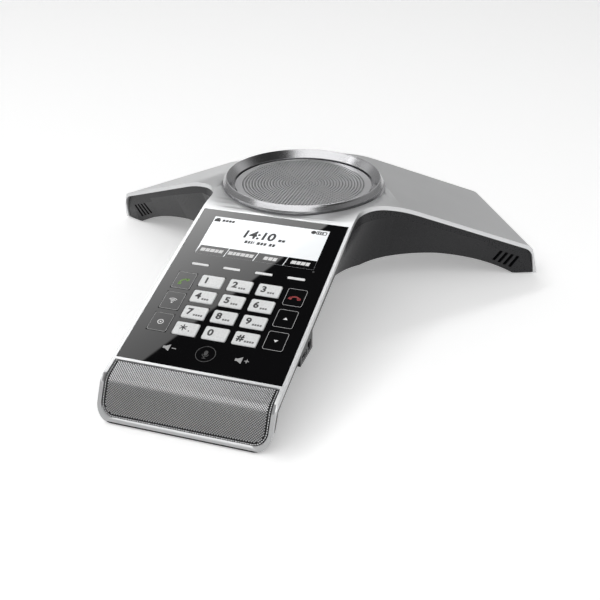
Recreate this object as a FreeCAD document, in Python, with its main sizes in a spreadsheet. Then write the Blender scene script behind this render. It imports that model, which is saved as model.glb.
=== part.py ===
"""Three-legged tabletop conference phone, in millimetres.

Every sub-part is drawn about the hub axis (the axis of the loudspeaker, with z = 0 on the table) and placed
hub_forward along +Y, so that the origin is the middle of the footprint. Pieces of the control panel are drawn
in the panel's own frame: x across, y up the slope from the panel's top edge, z out of the panel.
"""
import FreeCAD, Part
import math
import os

import Sketcher
from FreeCAD import Placement, Rotation, Vector

SIZES = {
    # plan of the three arms
    "hub_forward": 43.2, "arm_half_width": 46.8, "arm_fillet": 26.0,
    "front_reach": 199.0, "front_lean": 0.523, "front_bend": 8.0, "nose_corner": 9.0,
    "rear_reach": 147.8, "rear_lean": 0.268, "rear_bend": 11.5, "rear_corner": 3.0,
    # heights and slopes
    "hub_height": 60.0, "base_height": 0.8, "sole_top": 1.5, "front_slope": 15.5, "rear_slope": 21.8,
    "front_slope_start": 47.2, "rear_slope_start": 45.0, "front_blend": 58.8, "rear_blend": 90.0,
    # shells
    "wall": 2.0, "skirt": 2.7, "end_wall": 2.2, "shell_step": 1.0, "band_height": 50.6, "hub_bottom": 13.0,
    "undercut": 0.42,
    # control panel
    "panel_top": 54.54, "panel_top_height": 57.96, "panel_width": 89.8, "panel_length": 124.1,
    "panel_thickness": 1.5, "fit_gap": 0.2, "ledge": 0.95,
    "lens_width": 71.0, "lens_height": 33.6, "lens_middle": 22.8,
    "lcd_width": 79.0, "lcd_height": 41.0, "lcd_thickness": 5.0,
    # keys
    "dial_width": 13.5, "dial_height": 9.26, "dial_pitch_across": 16.76, "dial_pitch_down": 12.38,
    "dial_first_row": 60.91,
    "side_width": 11.28, "side_height": 13.38, "side_across": 32.33, "side_pitch_down": 16.42,
    "side_first_row": 63.05,
    "soft_width": 10.0, "soft_height": 1.7, "soft_inner": 9.48, "soft_outer": 28.44, "soft_row": 48.5,
    "cap_rise": 0.5, "flush_rise": 0.1, "cap_corner": 1.2, "cap_bevel": 0.4, "flange_rim": 0.8,
    "flange_thickness": 0.8, "stem_radius": 1.4, "stem_length": 0.85, "key_travel": 0.8,
    "mat_thickness": 0.6, "dome_height": 0.3, "dome_radius": 2.2, "board_thickness": 1.6,
    # loudspeaker
    "ring_outer": 52.0, "ring_crest": 48.85, "ring_crest_height": 64.18, "ring_bottom": 54.2,
    "ring_inner": 44.4, "ring_step": 58.4, "grille_top": 59.0, "grille_thickness": 1.2, "grille_radius": 43.4,
    "basket_flange": 46.5, "basket_plate": 25.0, "magnet_radius": 22.0, "magnet_height": 8.5,
    "cone_outer": 31.0, "cone_inner": 9.4, "coil_radius": 9.2,
    # battery bay and door
    "door_width": 52.0, "door_length": 60.0, "door_thickness": 1.8, "door_front": 108.0, "door_travel": 8.0,
    "battery_width": 46.0, "battery_length": 50.0, "battery_thickness": 13.0,
    # sockets on the side pod
    "pod_face": 46.0, "pod_near": 127.5, "pod_far": 148.0, "pod_bottom": 20.0,
    "jack_bore": 1.8, "jack_body": 3.0, "jack_length": 13.0,
    # feet, screws and microphones
    "foot_thickness": 2.0, "front_foot_width": 60.0, "front_foot_depth": 9.0, "rear_foot_width": 58.0,
    "rear_foot_depth": 7.0,
    "screw_shank": 1.45, "screw_head": 2.75, "screw_head_height": 2.2, "screw_length": 13.0,
    "boss_radius": 3.5, "boss_joint_height": 24.0,
    "mic_radius": 3.0, "mic_height": 2.2, "mic_boot_radius": 4.5, "mic_boot_height": 5.0,
}


class Size:
    """A length that carries both its number and the sheet expression that gives it."""

    def __init__(self, number, text=None):
        self.number = float(number)
        self.text = text or repr(float(number))

    def joined(self, sign, other, number):
        return Size(number, f"({self.text} {sign} {as_size(other).text})")

    def __add__(self, other):
        return self.joined("+", other, self.number + as_size(other).number)

    def __sub__(self, other):
        return self.joined("-", other, self.number - as_size(other).number)

    def __mul__(self, other):
        return self.joined("*", other, self.number * as_size(other).number)

    def __truediv__(self, other):
        return self.joined("/", other, self.number / as_size(other).number)

    def __neg__(self):
        return self * -1


def as_size(value):
    return value if isinstance(value, Size) else Size(value)


doc = FreeCAD.newDocument("conference_phone")
parts = []


def make_sheet():
    """The spreadsheet of driving sizes: a name in column A, its number in column B."""
    sheet = doc.addObject("Spreadsheet::Sheet", "sizes")
    for row, (alias, number) in enumerate(SIZES.items(), start=1):
        sheet.set(f"A{row}", alias)
        sheet.set(f"B{row}", str(number))
        sheet.setAlias(f"B{row}", alias)
    doc.recompute()
    return sheet


SHEET = make_sheet()


def cell(alias):
    """The named size from the sheet."""
    return Size(getattr(SHEET, alias), f"sizes.{alias}")


def number(alias):
    return float(getattr(SHEET, alias))


HUB = Placement(Vector(0, number("hub_forward"), 0), Rotation())
PANEL = HUB * Placement(
    Vector(0, -number("panel_top"), number("panel_top_height")),
    Rotation(Vector(1, 0, 0), number("front_slope")),
)
HEADINGS = {"front": -90.0, "right": 30.0, "left": 150.0}


def shifted(frame, x, y, z, turn=0.0):
    """A frame moved by x, y, z in its own axes and turned about its own z."""
    return frame * Placement(Vector(x, y, z), Rotation(Vector(0, 0, 1), turn))


def arm_frame(arm, along=0.0, across=0.0, up=0.0):
    """A frame at a place on an arm: x runs out along the arm and y across it."""
    turned = HUB * Placement(Vector(0, 0, 0), Rotation(Vector(0, 0, 1), HEADINGS[arm]))
    return shifted(turned, along, across, up)


def bind(item, **settings):
    """Tie an object's properties to sheet expressions."""
    for name, size in settings.items():
        item.setExpression(name, as_size(size).text)


def keep(item, label, frame=None):
    """Register an object as one of the phone's sub-parts."""
    item.Label = label
    if frame is not None:
        item.Placement = frame
    parts.append(item)
    return item


# --- sketches and PartDesign bodies -------------------------------------------------------------------------


def new_body(name):
    return doc.addObject("PartDesign::Body", name)


def new_sketch(body, plane, offset=0.0):
    """An empty sketch on one of the body's own origin planes, offset along the plane's normal."""
    sketch = body.newObject("Sketcher::SketchObject", "Sketch")
    origin_plane = next(f for f in body.Origin.OriginFeatures if f.Role == plane)
    sketch.AttachmentSupport = [(origin_plane, "")]
    sketch.MapMode = "FlatFace"
    size = as_size(offset)
    sketch.AttachmentOffset = Placement(Vector(0, 0, size.number), Rotation())
    sketch.setExpression("AttachmentOffset.Base.z", size.text)
    return sketch


def hold(sketch, kind, geometry, place, size):
    """A distance from the sketch's origin to one point, tied to the sheet."""
    index = sketch.addConstraint(Sketcher.Constraint(kind, -1, 1, geometry, place, size.number))
    sketch.setExpression(f"Constraints[{index}]", size.text)


def add_polygon(sketch, points):
    """A closed polygon whose corners are held at (x, y) sizes from the origin."""
    sizes = [(as_size(x), as_size(y)) for x, y in points]
    corners = [Vector(x.number, y.number, 0) for x, y in sizes]
    first = sketch.GeometryCount
    count = len(corners)
    for i in range(count):
        sketch.addGeometry(Part.LineSegment(corners[i], corners[(i + 1) % count]), False)
    for i in range(count):
        following = first + (i + 1) % count
        sketch.addConstraint(Sketcher.Constraint("Coincident", first + i, 2, following, 1))
    for i, (x, y) in enumerate(sizes):
        hold(sketch, "DistanceX", first + i, 1, x)
        hold(sketch, "DistanceY", first + i, 1, y)


def add_rectangle(sketch, width, height, x=0.0, y=0.0):
    """A rectangle centred on (x, y)."""
    half_width, half_height = as_size(width) / 2, as_size(height) / 2
    x, y = as_size(x), as_size(y)
    left, right = x - half_width, x + half_width
    low, high = y - half_height, y + half_height
    add_polygon(sketch, [(left, low), (right, low), (right, high), (left, high)])


def add_circle(sketch, radius, x=0.0, y=0.0):
    radius, x, y = as_size(radius), as_size(x), as_size(y)
    centre = Vector(x.number, y.number, 0)
    circle = sketch.addGeometry(Part.Circle(centre, Vector(0, 0, 1), radius.number), False)
    index = sketch.addConstraint(Sketcher.Constraint("Radius", circle, radius.number))
    sketch.setExpression(f"Constraints[{index}]", radius.text)
    hold(sketch, "DistanceX", circle, 3, x)
    hold(sketch, "DistanceY", circle, 3, y)


def pad(body, sketch, length):
    feature = body.newObject("PartDesign::Pad", "Pad")
    feature.Profile = sketch
    feature.Length = as_size(length).number
    bind(feature, Length=length)
    sketch.Visibility = False
    return feature


def revolved(name, label, points, frame=HUB):
    """A body turned about its z axis from an (r, z) outline."""
    body = new_body(name)
    sketch = new_sketch(body, "XZ_Plane")
    add_polygon(sketch, points)
    feature = body.newObject("PartDesign::Revolution", "Revolution")
    feature.Profile = sketch
    feature.ReferenceAxis = (sketch, ["V_Axis"])
    feature.Angle = 360.0
    return keep(body, label, frame)


def plate(name, label, width, height, thickness, frame, holes=()):
    """A rectangular plate on the frame's xy plane, with round holes (radius, x, y) through it."""
    body = new_body(name)
    sketch = new_sketch(body, "XY_Plane")
    add_rectangle(sketch, width, height)
    for radius, x, y in holes:
        add_circle(sketch, radius, x, y)
    pad(body, sketch, thickness)
    return keep(body, label, frame)


def edges_where(shape, test):
    return [f"Edge{i}" for i, edge in enumerate(shape.Edges, start=1) if test(edge)]


def is_upright(edge):
    ends = [v.Point for v in edge.Vertexes]
    return len(ends) == 2 and (ends[0] - ends[1]).cross(Vector(0, 0, 1)).Length < 1e-6


def dress(body, kind, base, names, size):
    """A fillet or chamfer on named edges of a feature."""
    doc.recompute()
    feature = body.newObject(f"PartDesign::{kind}", kind)
    feature.Base = (base, names)
    prop = "Radius" if kind == "Fillet" else "Size"
    setattr(feature, prop, as_size(size).number)
    feature.setExpression(prop, as_size(size).text)
    return feature


# --- keys ---------------------------------------------------------------------------------------------------


def key_places():
    """Each key's name, kind and place on the panel, across and down the slope."""
    places = []
    dial = ["1", "2", "3", "4", "5", "6", "7", "8", "9", "star", "0", "hash"]
    for i, mark in enumerate(dial):
        across = cell("dial_pitch_across") * (i % 3 - 1)
        down = cell("dial_first_row") + cell("dial_pitch_down") * (i // 3)
        places.append((f"key_{mark}", "dial", across, down))
    sides = [("call", "link", "ok"), ("end", "up", "down")]
    for side, marks in zip((-1, 1), sides):
        for row, mark in enumerate(marks):
            down = cell("side_first_row") + cell("side_pitch_down") * row
            places.append((f"key_{mark}", "side", cell("side_across") * side, down))
    soft = [-cell("soft_outer"), -cell("soft_inner"), cell("soft_inner"), cell("soft_outer")]
    for i, across in enumerate(soft, start=1):
        places.append((f"soft_key_{i}", "soft", across, cell("soft_row")))
    return places


def cap_size(kind):
    """Width and height of a key's cap."""
    return cell(f"{kind}_width"), cell(f"{kind}_height")


def make_key(label, kind, across, down):
    """A cap that passes through the panel, a flange behind it and a stem above its dome."""
    width, height = cap_size(kind)
    rise = cell("cap_rise") if kind == "dial" else cell("flush_rise")
    flange_top = cell("panel_thickness") + 0.05
    flange_bottom = flange_top + cell("flange_thickness")
    body = new_body(label)
    cap_sketch = new_sketch(body, "XY_Plane", -flange_top)
    add_rectangle(cap_sketch, width, height)
    cap = pad(body, cap_sketch, flange_top + rise)
    doc.recompute()
    corner = cell("cap_corner") if kind != "soft" else cell("cap_corner") / 2
    rounded = dress(body, "Fillet", cap, edges_where(cap.Shape, is_upright), corner)
    if kind == "dial":
        doc.recompute()
        top = rise.number
        on_top = edges_where(rounded.Shape, lambda e: abs(e.BoundBox.ZMin - top) < 1e-6)
        dress(body, "Chamfer", rounded, on_top, cell("cap_bevel"))
    flange_sketch = new_sketch(body, "XY_Plane", -flange_bottom)
    add_rectangle(flange_sketch, width + cell("flange_rim") * 2, height + cell("flange_rim") * 2)
    pad(body, flange_sketch, cell("flange_thickness"))
    stem_sketch = new_sketch(body, "XY_Plane", -(flange_bottom + cell("stem_length")))
    add_circle(stem_sketch, cell("stem_radius"))
    pad(body, stem_sketch, cell("stem_length"))
    keep(body, label, shifted(PANEL, across.number, -down.number, 0))


# --- control panel ------------------------------------------------------------------------------------------


def mat_top():
    """Depth of the rubber mat's flat top: the stem, its travel and the dome below it."""
    flange_bottom = cell("panel_thickness") + cell("flange_thickness") + 0.05
    return flange_bottom + cell("stem_length") + cell("key_travel") + cell("dome_height") + 0.05


def make_face_panel():
    """The gloss panel, with an opening for the display lens and one for each key."""
    body = new_body("face_panel")
    gap = cell("fit_gap") * 2
    sketch = new_sketch(body, "XY_Plane", -cell("panel_thickness"))
    add_rectangle(sketch, cell("panel_width"), cell("panel_length"), 0, -cell("panel_length") / 2)
    add_rectangle(sketch, cell("lens_width") + 0.2, cell("lens_height") + 0.2, 0, -cell("lens_middle"))
    for _, kind, across, down in key_places():
        width, height = cap_size(kind)
        add_rectangle(sketch, width + gap, height + gap, across, -down)
    pad(body, sketch, cell("panel_thickness"))
    keep(body, "face_panel", PANEL)


def make_display():
    """The clear lens, flush with the panel, and the display module behind it."""
    depth = cell("panel_thickness")
    lens = shifted(PANEL, 0, -number("lens_middle"), -depth.number)
    plate("lcd_window", "lcd_window", cell("lens_width"), cell("lens_height"), depth, lens)
    below = depth.number + number("lcd_thickness") + 0.1
    module = shifted(PANEL, 0, -number("lens_middle"), -below)
    plate("lcd_module", "lcd_module", cell("lcd_width"), cell("lcd_height"), cell("lcd_thickness"), module)


def make_keypad():
    """The rubber mat with a dome under each key, its board and the touch film for the lowest row."""
    middle, length = 85.5, 78.0
    top = mat_top()
    mat_frame = shifted(PANEL, 0, -middle, -(top.number + number("mat_thickness")))
    body = new_body("keypad_mat")
    sketch = new_sketch(body, "XY_Plane")
    add_rectangle(sketch, 71.0, 66.0, 0, 6.0)
    pad(body, sketch, cell("mat_thickness"))
    domes = new_sketch(body, "XY_Plane", cell("mat_thickness"))
    for _, _, across, down in key_places():
        add_circle(domes, cell("dome_radius"), across, -down + middle)
    pad(body, domes, cell("dome_height"))
    keep(body, "keypad_mat", mat_frame)
    board_top = top.number + number("mat_thickness")
    board_frame = shifted(PANEL, 0, -middle, -(board_top + number("board_thickness")))
    plate("keypad_board", "keypad_board", 71.0, length, cell("board_thickness"), board_frame)
    film_frame = shifted(PANEL, 0, -112.5, -(number("panel_thickness") + 0.5))
    plate("touch_film", "touch_film", 60.0, 12.0, 0.4, film_frame)


# --- loudspeaker --------------------------------------------------------------------------------------------


def make_speaker_ring():
    """The flared metal ring round the loudspeaker, stepped in above its flange, with a lip for the grille."""
    outer, crest = cell("ring_outer"), cell("ring_crest")
    top, bottom = cell("ring_crest_height"), cell("ring_bottom")
    lip_top = cell("grille_top") - cell("grille_thickness")
    lip_bottom = lip_top - 1.2
    inner, step = cell("ring_inner"), cell("ring_step")
    revolved("speaker_ring", "speaker_ring", [
        (outer - 2.4, bottom), (outer, bottom), (outer, step), (outer - 1.2, step + 0.2),
        (outer - 0.9, top - 2.9), (crest + 0.9, top - 0.9), (crest + 0.25, top - 0.1),
        (crest - 0.35, top), (crest - 0.9, top - 0.6), (inner, top - 4.3), (inner, lip_top),
        (inner - 2.4, lip_top), (inner - 2.4, lip_bottom), (outer - 2.4, lip_bottom),
    ])


def make_speaker_grille():
    """The perforated disc: a flat plate with a shallow step at the rim, the holes too fine to model here."""
    top, thickness, radius = cell("grille_top"), cell("grille_thickness"), cell("grille_radius")
    revolved("speaker_grille", "speaker_grille", [
        (0, top - thickness), (radius, top - thickness), (radius, top - 0.15), (radius - 4.4, top - 0.15),
        (radius - 4.7, top), (0, top),
    ])


def make_speaker():
    """A 3-inch driver: basket, magnet, pole plate, coil, spider, cone, dust cap and surround."""
    seat = cell("ring_bottom")
    flange = cell("basket_flange")
    plate_top = seat - 16.2
    cone_outer, cone_inner = cell("cone_outer"), cell("cone_inner")
    revolved("speaker_basket", "speaker_basket", [
        (37.2, seat), (flange, seat), (flange, seat + 1.2), (36.8, seat + 1.2),
        (24.2, plate_top), (10.2, plate_top), (10.2, plate_top - 1.4),
        (cell("basket_plate"), plate_top - 1.4)])
    magnet_top = plate_top - 1.4
    magnet_bottom = magnet_top - cell("magnet_height")
    magnet = cell("magnet_radius")
    revolved("speaker_magnet", "speaker_magnet", [
        (10.6, magnet_bottom), (magnet, magnet_bottom), (magnet, magnet_top), (10.6, magnet_top)])
    revolved("pole_plate", "pole_plate", [
        (0, magnet_bottom - 2.0), (magnet - 1.0, magnet_bottom - 2.0), (magnet - 1.0, magnet_bottom),
        (8.3, magnet_bottom), (8.3, plate_top), (0, plate_top)])
    coil = cell("coil_radius")
    revolved("voice_coil", "voice_coil", [
        (coil - 0.5, magnet_top - 5.0), (coil, magnet_top - 5.0),
        (coil, seat - 10.6), (coil - 0.5, seat - 10.6)])
    revolved("speaker_spider", "speaker_spider", [
        (coil, seat - 13.3), (25.8, seat - 13.3), (25.8, seat - 12.7), (coil, seat - 12.7)])
    revolved("speaker_cone", "speaker_cone", [
        (coil, seat - 11.6), (cone_inner + 0.6, seat - 11.6), (cone_outer, seat - 0.9),
        (cone_outer, seat - 0.2), (coil, seat - 10.6)])
    revolved("dust_cap", "dust_cap", [
        (0, seat - 7.6), (4.0, seat - 8.0), (7.5, seat - 9.2), (cone_inner + 0.4, seat - 10.2),
        (cone_inner + 0.8, seat - 9.5), (8.0, seat - 8.4), (4.4, seat - 7.2), (0, seat - 6.8)])
    revolved("speaker_surround", "speaker_surround", [
        (cone_outer, seat - 0.9), (cone_outer + 1.5, seat + 0.3), (34.0, seat + 0.9),
        (cone_outer + 4.3, seat + 0.3), (35.9, seat + 0.3), (35.9, seat + 0.9),
        (cone_outer + 4.5, seat + 1.0), (34.0, seat + 1.6), (cone_outer + 1.2, seat + 1.0),
        (cone_outer, seat - 0.2)])


# --- shells -------------------------------------------------------------------------------------------------


def rounded_wire(corners):
    """A closed wire in the xy plane through corners (x, y, radius), rounded by tangent arcs."""
    count = len(corners)
    bends = []
    for i, (x, y, radius) in enumerate(corners):
        corner = Vector(x, y, 0)
        back = (Vector(*corners[i - 1][:2], 0) - corner).normalize()
        ahead = (Vector(*corners[(i + 1) % count][:2], 0) - corner).normalize()
        half = back.getAngle(ahead) / 2
        cut = radius / math.tan(half)
        inward = (back + ahead).normalize()
        middle = corner + inward * (radius / math.sin(half) - radius)
        bends.append((corner + back * cut, middle, corner + ahead * cut, radius))
    edges = []
    for i, (start, middle, end, radius) in enumerate(bends):
        if radius > 0:
            edges.append(Part.Arc(start, middle, end).toShape())
        onward = bends[(i + 1) % count][0]
        if (onward - end).Length > 1e-6:
            edges.append(Part.LineSegment(end, onward).toShape())
    return Part.Wire(edges)


def across_arm(corners, arm, width=460.0):
    """A prism drawn in an arm's side view (out along the arm, up), as wide as the whole phone."""
    face = Part.Face(rounded_wire(corners))
    face.rotate(Vector(0, 0, 0), Vector(1, 0, 0), 90)
    face.translate(Vector(0, width / 2, 0))
    solid = face.extrude(Vector(0, -width, 0))
    solid.rotate(Vector(0, 0, 0), Vector(0, 0, 1), HEADINGS[arm])
    return solid


def plan_corners(half, front, rear, fillet):
    """Corners of the three-armed plan, each arm's two end corners and then the inner corner after it."""
    inner = half / math.sin(math.radians(60))
    corners = []
    for arm, reach in (("front", front), ("right", rear), ("left", rear)):
        heading = math.radians(HEADINGS[arm])
        out = Vector(math.cos(heading), math.sin(heading), 0)
        side = Vector(out.y, -out.x, 0)
        for sign in (1, -1):
            end = out * reach + side * half * sign
            corners.append((end.x, end.y, 0))
        between = heading + math.radians(60)
        corners.append((inner * math.cos(between), inner * math.sin(between), fillet))
    return corners


FAR = 320.0
HIGH = 90.0


def side_view(kind, drop, inset, low):
    """A front or rear arm's side view, its roof lowered by drop: level hub, slope, bend and leaning end."""
    reach, lean = number(f"{kind}_reach") - inset, number(f"{kind}_lean")
    start = number(f"{kind}_slope_start")
    top = number("hub_height") - drop
    fall = math.tan(math.radians(number(f"{kind}_slope")))
    end = (reach - lean * (top + start * fall)) / (1 - lean * fall)
    bend = number(f"{kind}_bend") - min(inset, 5.0)
    return [(-FAR, low, 0), (reach - lean * low, low, 0), (end, top - (end - start) * fall, bend),
            (start, top, number(f"{kind}_blend")), (-FAR, top, 0)]


def under_roof(drop, inset, low):
    """Everything under the roof line, lowered by drop, with all three ends brought in by inset."""
    solid = across_arm(side_view("front", drop, inset, low), "front")
    for arm in ("right", "left"):
        solid = solid.common(across_arm(side_view("rear", drop, inset, low), arm))
    return solid


def round_rear_ends(solid, inset):
    """Round the two upright corners of each rear end, along the end's lean."""
    half = number("arm_half_width") - inset
    corner = max(number("rear_corner") - inset, 1.0)
    lean = number("rear_lean")
    low, high = -10.0, 40.0
    foot = number("rear_reach") - inset - low * lean
    for arm in ("right", "left"):
        outline = [(80.0, -half, 0), (foot, -half, corner), (foot, half, corner), (80.0, half, 0)]
        tongue = Part.Face(rounded_wire(outline))
        tongue.translate(Vector(0, 0, low))
        tongue = tongue.extrude(Vector(-(high - low) * lean, 0, high - low))
        block = Part.makeBox(60, 140, high - low - 1, Vector(110, -70, low + 0.5))
        waste = block.cut(tongue)
        waste.rotate(Vector(0, 0, 0), Vector(0, 0, 1), HEADINGS[arm])
        solid = solid.cut(waste)
    return solid


def round_nose(solid, inset):
    """Round the nose's two lower corners as seen from ahead."""
    half = number("arm_half_width") - inset
    corner = max(number("nose_corner") - inset, 4.0)
    low = number("base_height")
    outline = [(-half, 60.0, 0), (-half, low, corner), (half, low, corner), (half, 60.0, 0)]
    face = Part.Face(rounded_wire(outline))
    face.rotate(Vector(0, 0, 0), Vector(1, 0, 0), 90)
    face.translate(Vector(0, -170.0, 0))
    block = Part.makeBox(140, 50, 20, Vector(-70, -226.0, low))
    waste = block.cut(face.extrude(Vector(0, -60, 0)))
    return solid.cut(waste)


def upper_form(inset, drop, end_inset, low):
    """The phone's outer form, or the same form inside a wall."""
    half = number("arm_half_width") - inset
    corners = plan_corners(half, 230.0, 165.0, number("arm_fillet") + inset)
    face = Part.Face(rounded_wire(corners))
    face.translate(Vector(0, 0, -20))
    solid = face.extrude(Vector(0, 0, HIGH + 20)).common(under_roof(drop, end_inset, low))
    return round_rear_ends(round_nose(solid, inset), end_inset)


def flank_stations(arm):
    """Along an arm: distance out, height of the flank's upper line and its inward lean below that line."""
    start = number("front_slope_start")
    band = number("band_height")
    if arm == "front":
        return [(start, band, 0.42), (80.0, 42.6, 0.45), (120.0, 32.0, 0.42), (160.0, 21.5, 0.35),
                (182.0, 15.8, 0.30), (189.5, 3.0, 0.20), (210.0, 1.0, 0.10)]
    return [(start, band, 0.42), (80.0, 38.8, 0.50), (110.0, 27.2, 0.45), (135.0, 17.5, 0.28),
            (160.0, 8.1, 0.20)]


def lower_form(skin):
    """The dark lower body before its ends and roof are trimmed: upright at the top, leaning in below."""
    half = number("arm_half_width") - number("shell_step") - skin
    fillet = number("arm_fillet") + number("shell_step") + skin
    start, band = number("front_slope_start"), number("band_height")
    lean_in = number("undercut") * band
    upper = plan_corners(half, start, start, fillet)
    lower = plan_corners(half - lean_in, start, start, fillet + lean_in)
    top_wire = rounded_wire(upper)
    top_wire.translate(Vector(0, 0, band))
    form = Part.makeLoft([rounded_wire(lower), top_wire], True, True)
    upright = Part.Face(top_wire).extrude(Vector(0, 0, 12))
    form = form.fuse(upright)
    for arm, heading in HEADINGS.items():
        sections = []
        for along, height, lean in flank_stations(arm):
            foot = half - height * lean
            points = [(-foot, 0), (-half, height), (-half, HIGH), (half, HIGH), (half, height), (foot, 0)]
            corners = [Vector(along, across, up) for across, up in points]
            sections.append(Part.makePolygon(corners + corners[:1]))
        flank = Part.makeLoft(sections, True, True)
        flank.rotate(Vector(0, 0, 0), Vector(0, 0, 1), heading)
        form = form.fuse(flank)
    return form.removeSplitter()


def tangent_drop(start, height, end, low):
    """Points of an arc that leaves (start, height) level and comes down to (end, low)."""
    run, fall = end - start, height - low
    radius = (run * run + fall * fall) / (2 * fall)
    angle = math.asin(run / radius) / 2
    return Vector(start + radius * math.sin(angle), height - radius * (1 - math.cos(angle)), 0)


# Where the arch under an arm leaves the hub's level, where it starts to fall and where it meets the foot.
ARCHES = {"front": {"fall": 158.0, "rise": 0.0, "foot": 182.0},
          "rear": {"level": 30.0, "fall": 66.0, "rise": 6.0, "foot": 132.0}}


def arch_edges(arm, hub, base, inset, start):
    """The underside of an arm in its side view, from just behind the hub's axis to the foot."""
    arch = ARCHES["front" if arm == "front" else "rear"]
    top = Vector(arch["fall"], hub + arch["rise"], 0)
    level = Vector(arch.get("level", arch["fall"]), hub, 0)
    end = Vector(arch["foot"] - inset, base, 0)
    edges = [Part.LineSegment(Vector(start, hub, 0), level).toShape()]
    if arch["rise"]:
        middle = Vector((level.x + top.x) / 2, hub + arch["rise"] * 0.75, 0)
        edges.append(Part.Arc(level, middle, top).toShape())
    edges.append(Part.Arc(top, tangent_drop(top.x, top.y, end.x, base), end).toShape())
    return edges, end


def third_of_plan():
    """The wedge of plan within 60 degrees of an arm that runs along x."""
    across = FAR * math.tan(math.radians(60))
    triangle = [Vector(0, 0, -HIGH), Vector(FAR, -across, -HIGH), Vector(FAR, across, -HIGH)]
    return Part.Face(Part.makePolygon(triangle + triangle[:1])).extrude(Vector(0, 0, 2 * HIGH))


def space_below(raise_by):
    """The air under the phone: level under the hub, arched under each arm, down to the three feet."""
    base = number("base_height") + raise_by
    hub = number("hub_bottom") + raise_by
    floor, behind, half_width = -30.0, -10.0, 230.0
    spaces = []
    for arm, heading in HEADINGS.items():
        edges, end = arch_edges(arm, hub, base, raise_by, behind)
        outline = [end, Vector(end.x, floor, 0), Vector(behind, floor, 0), Vector(behind, hub, 0)]
        for here, there in zip(outline, outline[1:]):
            edges.append(Part.LineSegment(here, there).toShape())
        face = Part.Face(Part.Wire(edges))
        face.rotate(Vector(0, 0, 0), Vector(1, 0, 0), 90)
        face.translate(Vector(0, half_width, 0))
        solid = face.extrude(Vector(0, -2 * half_width, 0)).common(third_of_plan())
        solid.rotate(Vector(0, 0, 0), Vector(0, 0, 1), heading)
        spaces.append(solid)
    return spaces[0].fuse(spaces[1]).fuse(spaces[2]).removeSplitter()


def in_panel(solid):
    """Move a solid drawn in the panel's frame into the hub's."""
    solid.Placement = HUB.inverse() * PANEL * solid.Placement
    return solid


def panel_block(width, top, bottom, shallow, deep):
    """A block in the panel's frame, from one distance down the slope to another and one depth to another."""
    return in_panel(Part.makeBox(width, bottom - top, deep - shallow, Vector(-width / 2, -bottom, -deep)))


def grille_window(margin):
    """The front grille's outline seen from ahead, as a prism from the panel's lower edge to past the nose."""
    half = 44.7 - margin
    low = 3.2 + margin
    corners = [(-half, 60.0, 0), (-half, low, 7.4 - margin), (half, low, 7.4 - margin), (half, 60.0, 0)]
    face = Part.Face(rounded_wire(corners))
    face.rotate(Vector(0, 0, 0), Vector(1, 0, 0), 90)
    face.translate(Vector(0, -(175.7 + margin), 0))
    return face.extrude(Vector(0, -40, 0))


SCREW_PLACES = [(-27.0, -41.5), (27.0, -41.5)]
JACK = (133.2, 25.0)
USB = (141.6, 23.4)
FOOT_PLACES = {"front": 188.5, "right": 141.0, "left": 141.0}


def screw_places():
    """Plan places of the housing screws: two beside the hub and two on each rear arm."""
    places = list(SCREW_PLACES)
    for arm in ("right", "left"):
        heading = math.radians(HEADINGS[arm])
        for across in (-19.0, 19.0):
            x = 78.0 * math.cos(heading) - across * math.sin(heading)
            y = 78.0 * math.sin(heading) + across * math.cos(heading)
            places.append((x, y))
    return places


def shell_feature(label, solid):
    """A sub-part whose form is set directly, because no sketch feature makes it."""
    feature = doc.addObject("Part::Feature", label)
    pieces = solid.removeSplitter()
    feature.Shape = pieces.Solids[0] if len(pieces.Solids) == 1 else pieces
    return keep(feature, label, HUB)


def nose_block(bottom, top):
    """A low block that takes in the foot of the nose, between two heights."""
    return Part.makeBox(120, 30, top - bottom, Vector(-60, -210.0, bottom))


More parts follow.
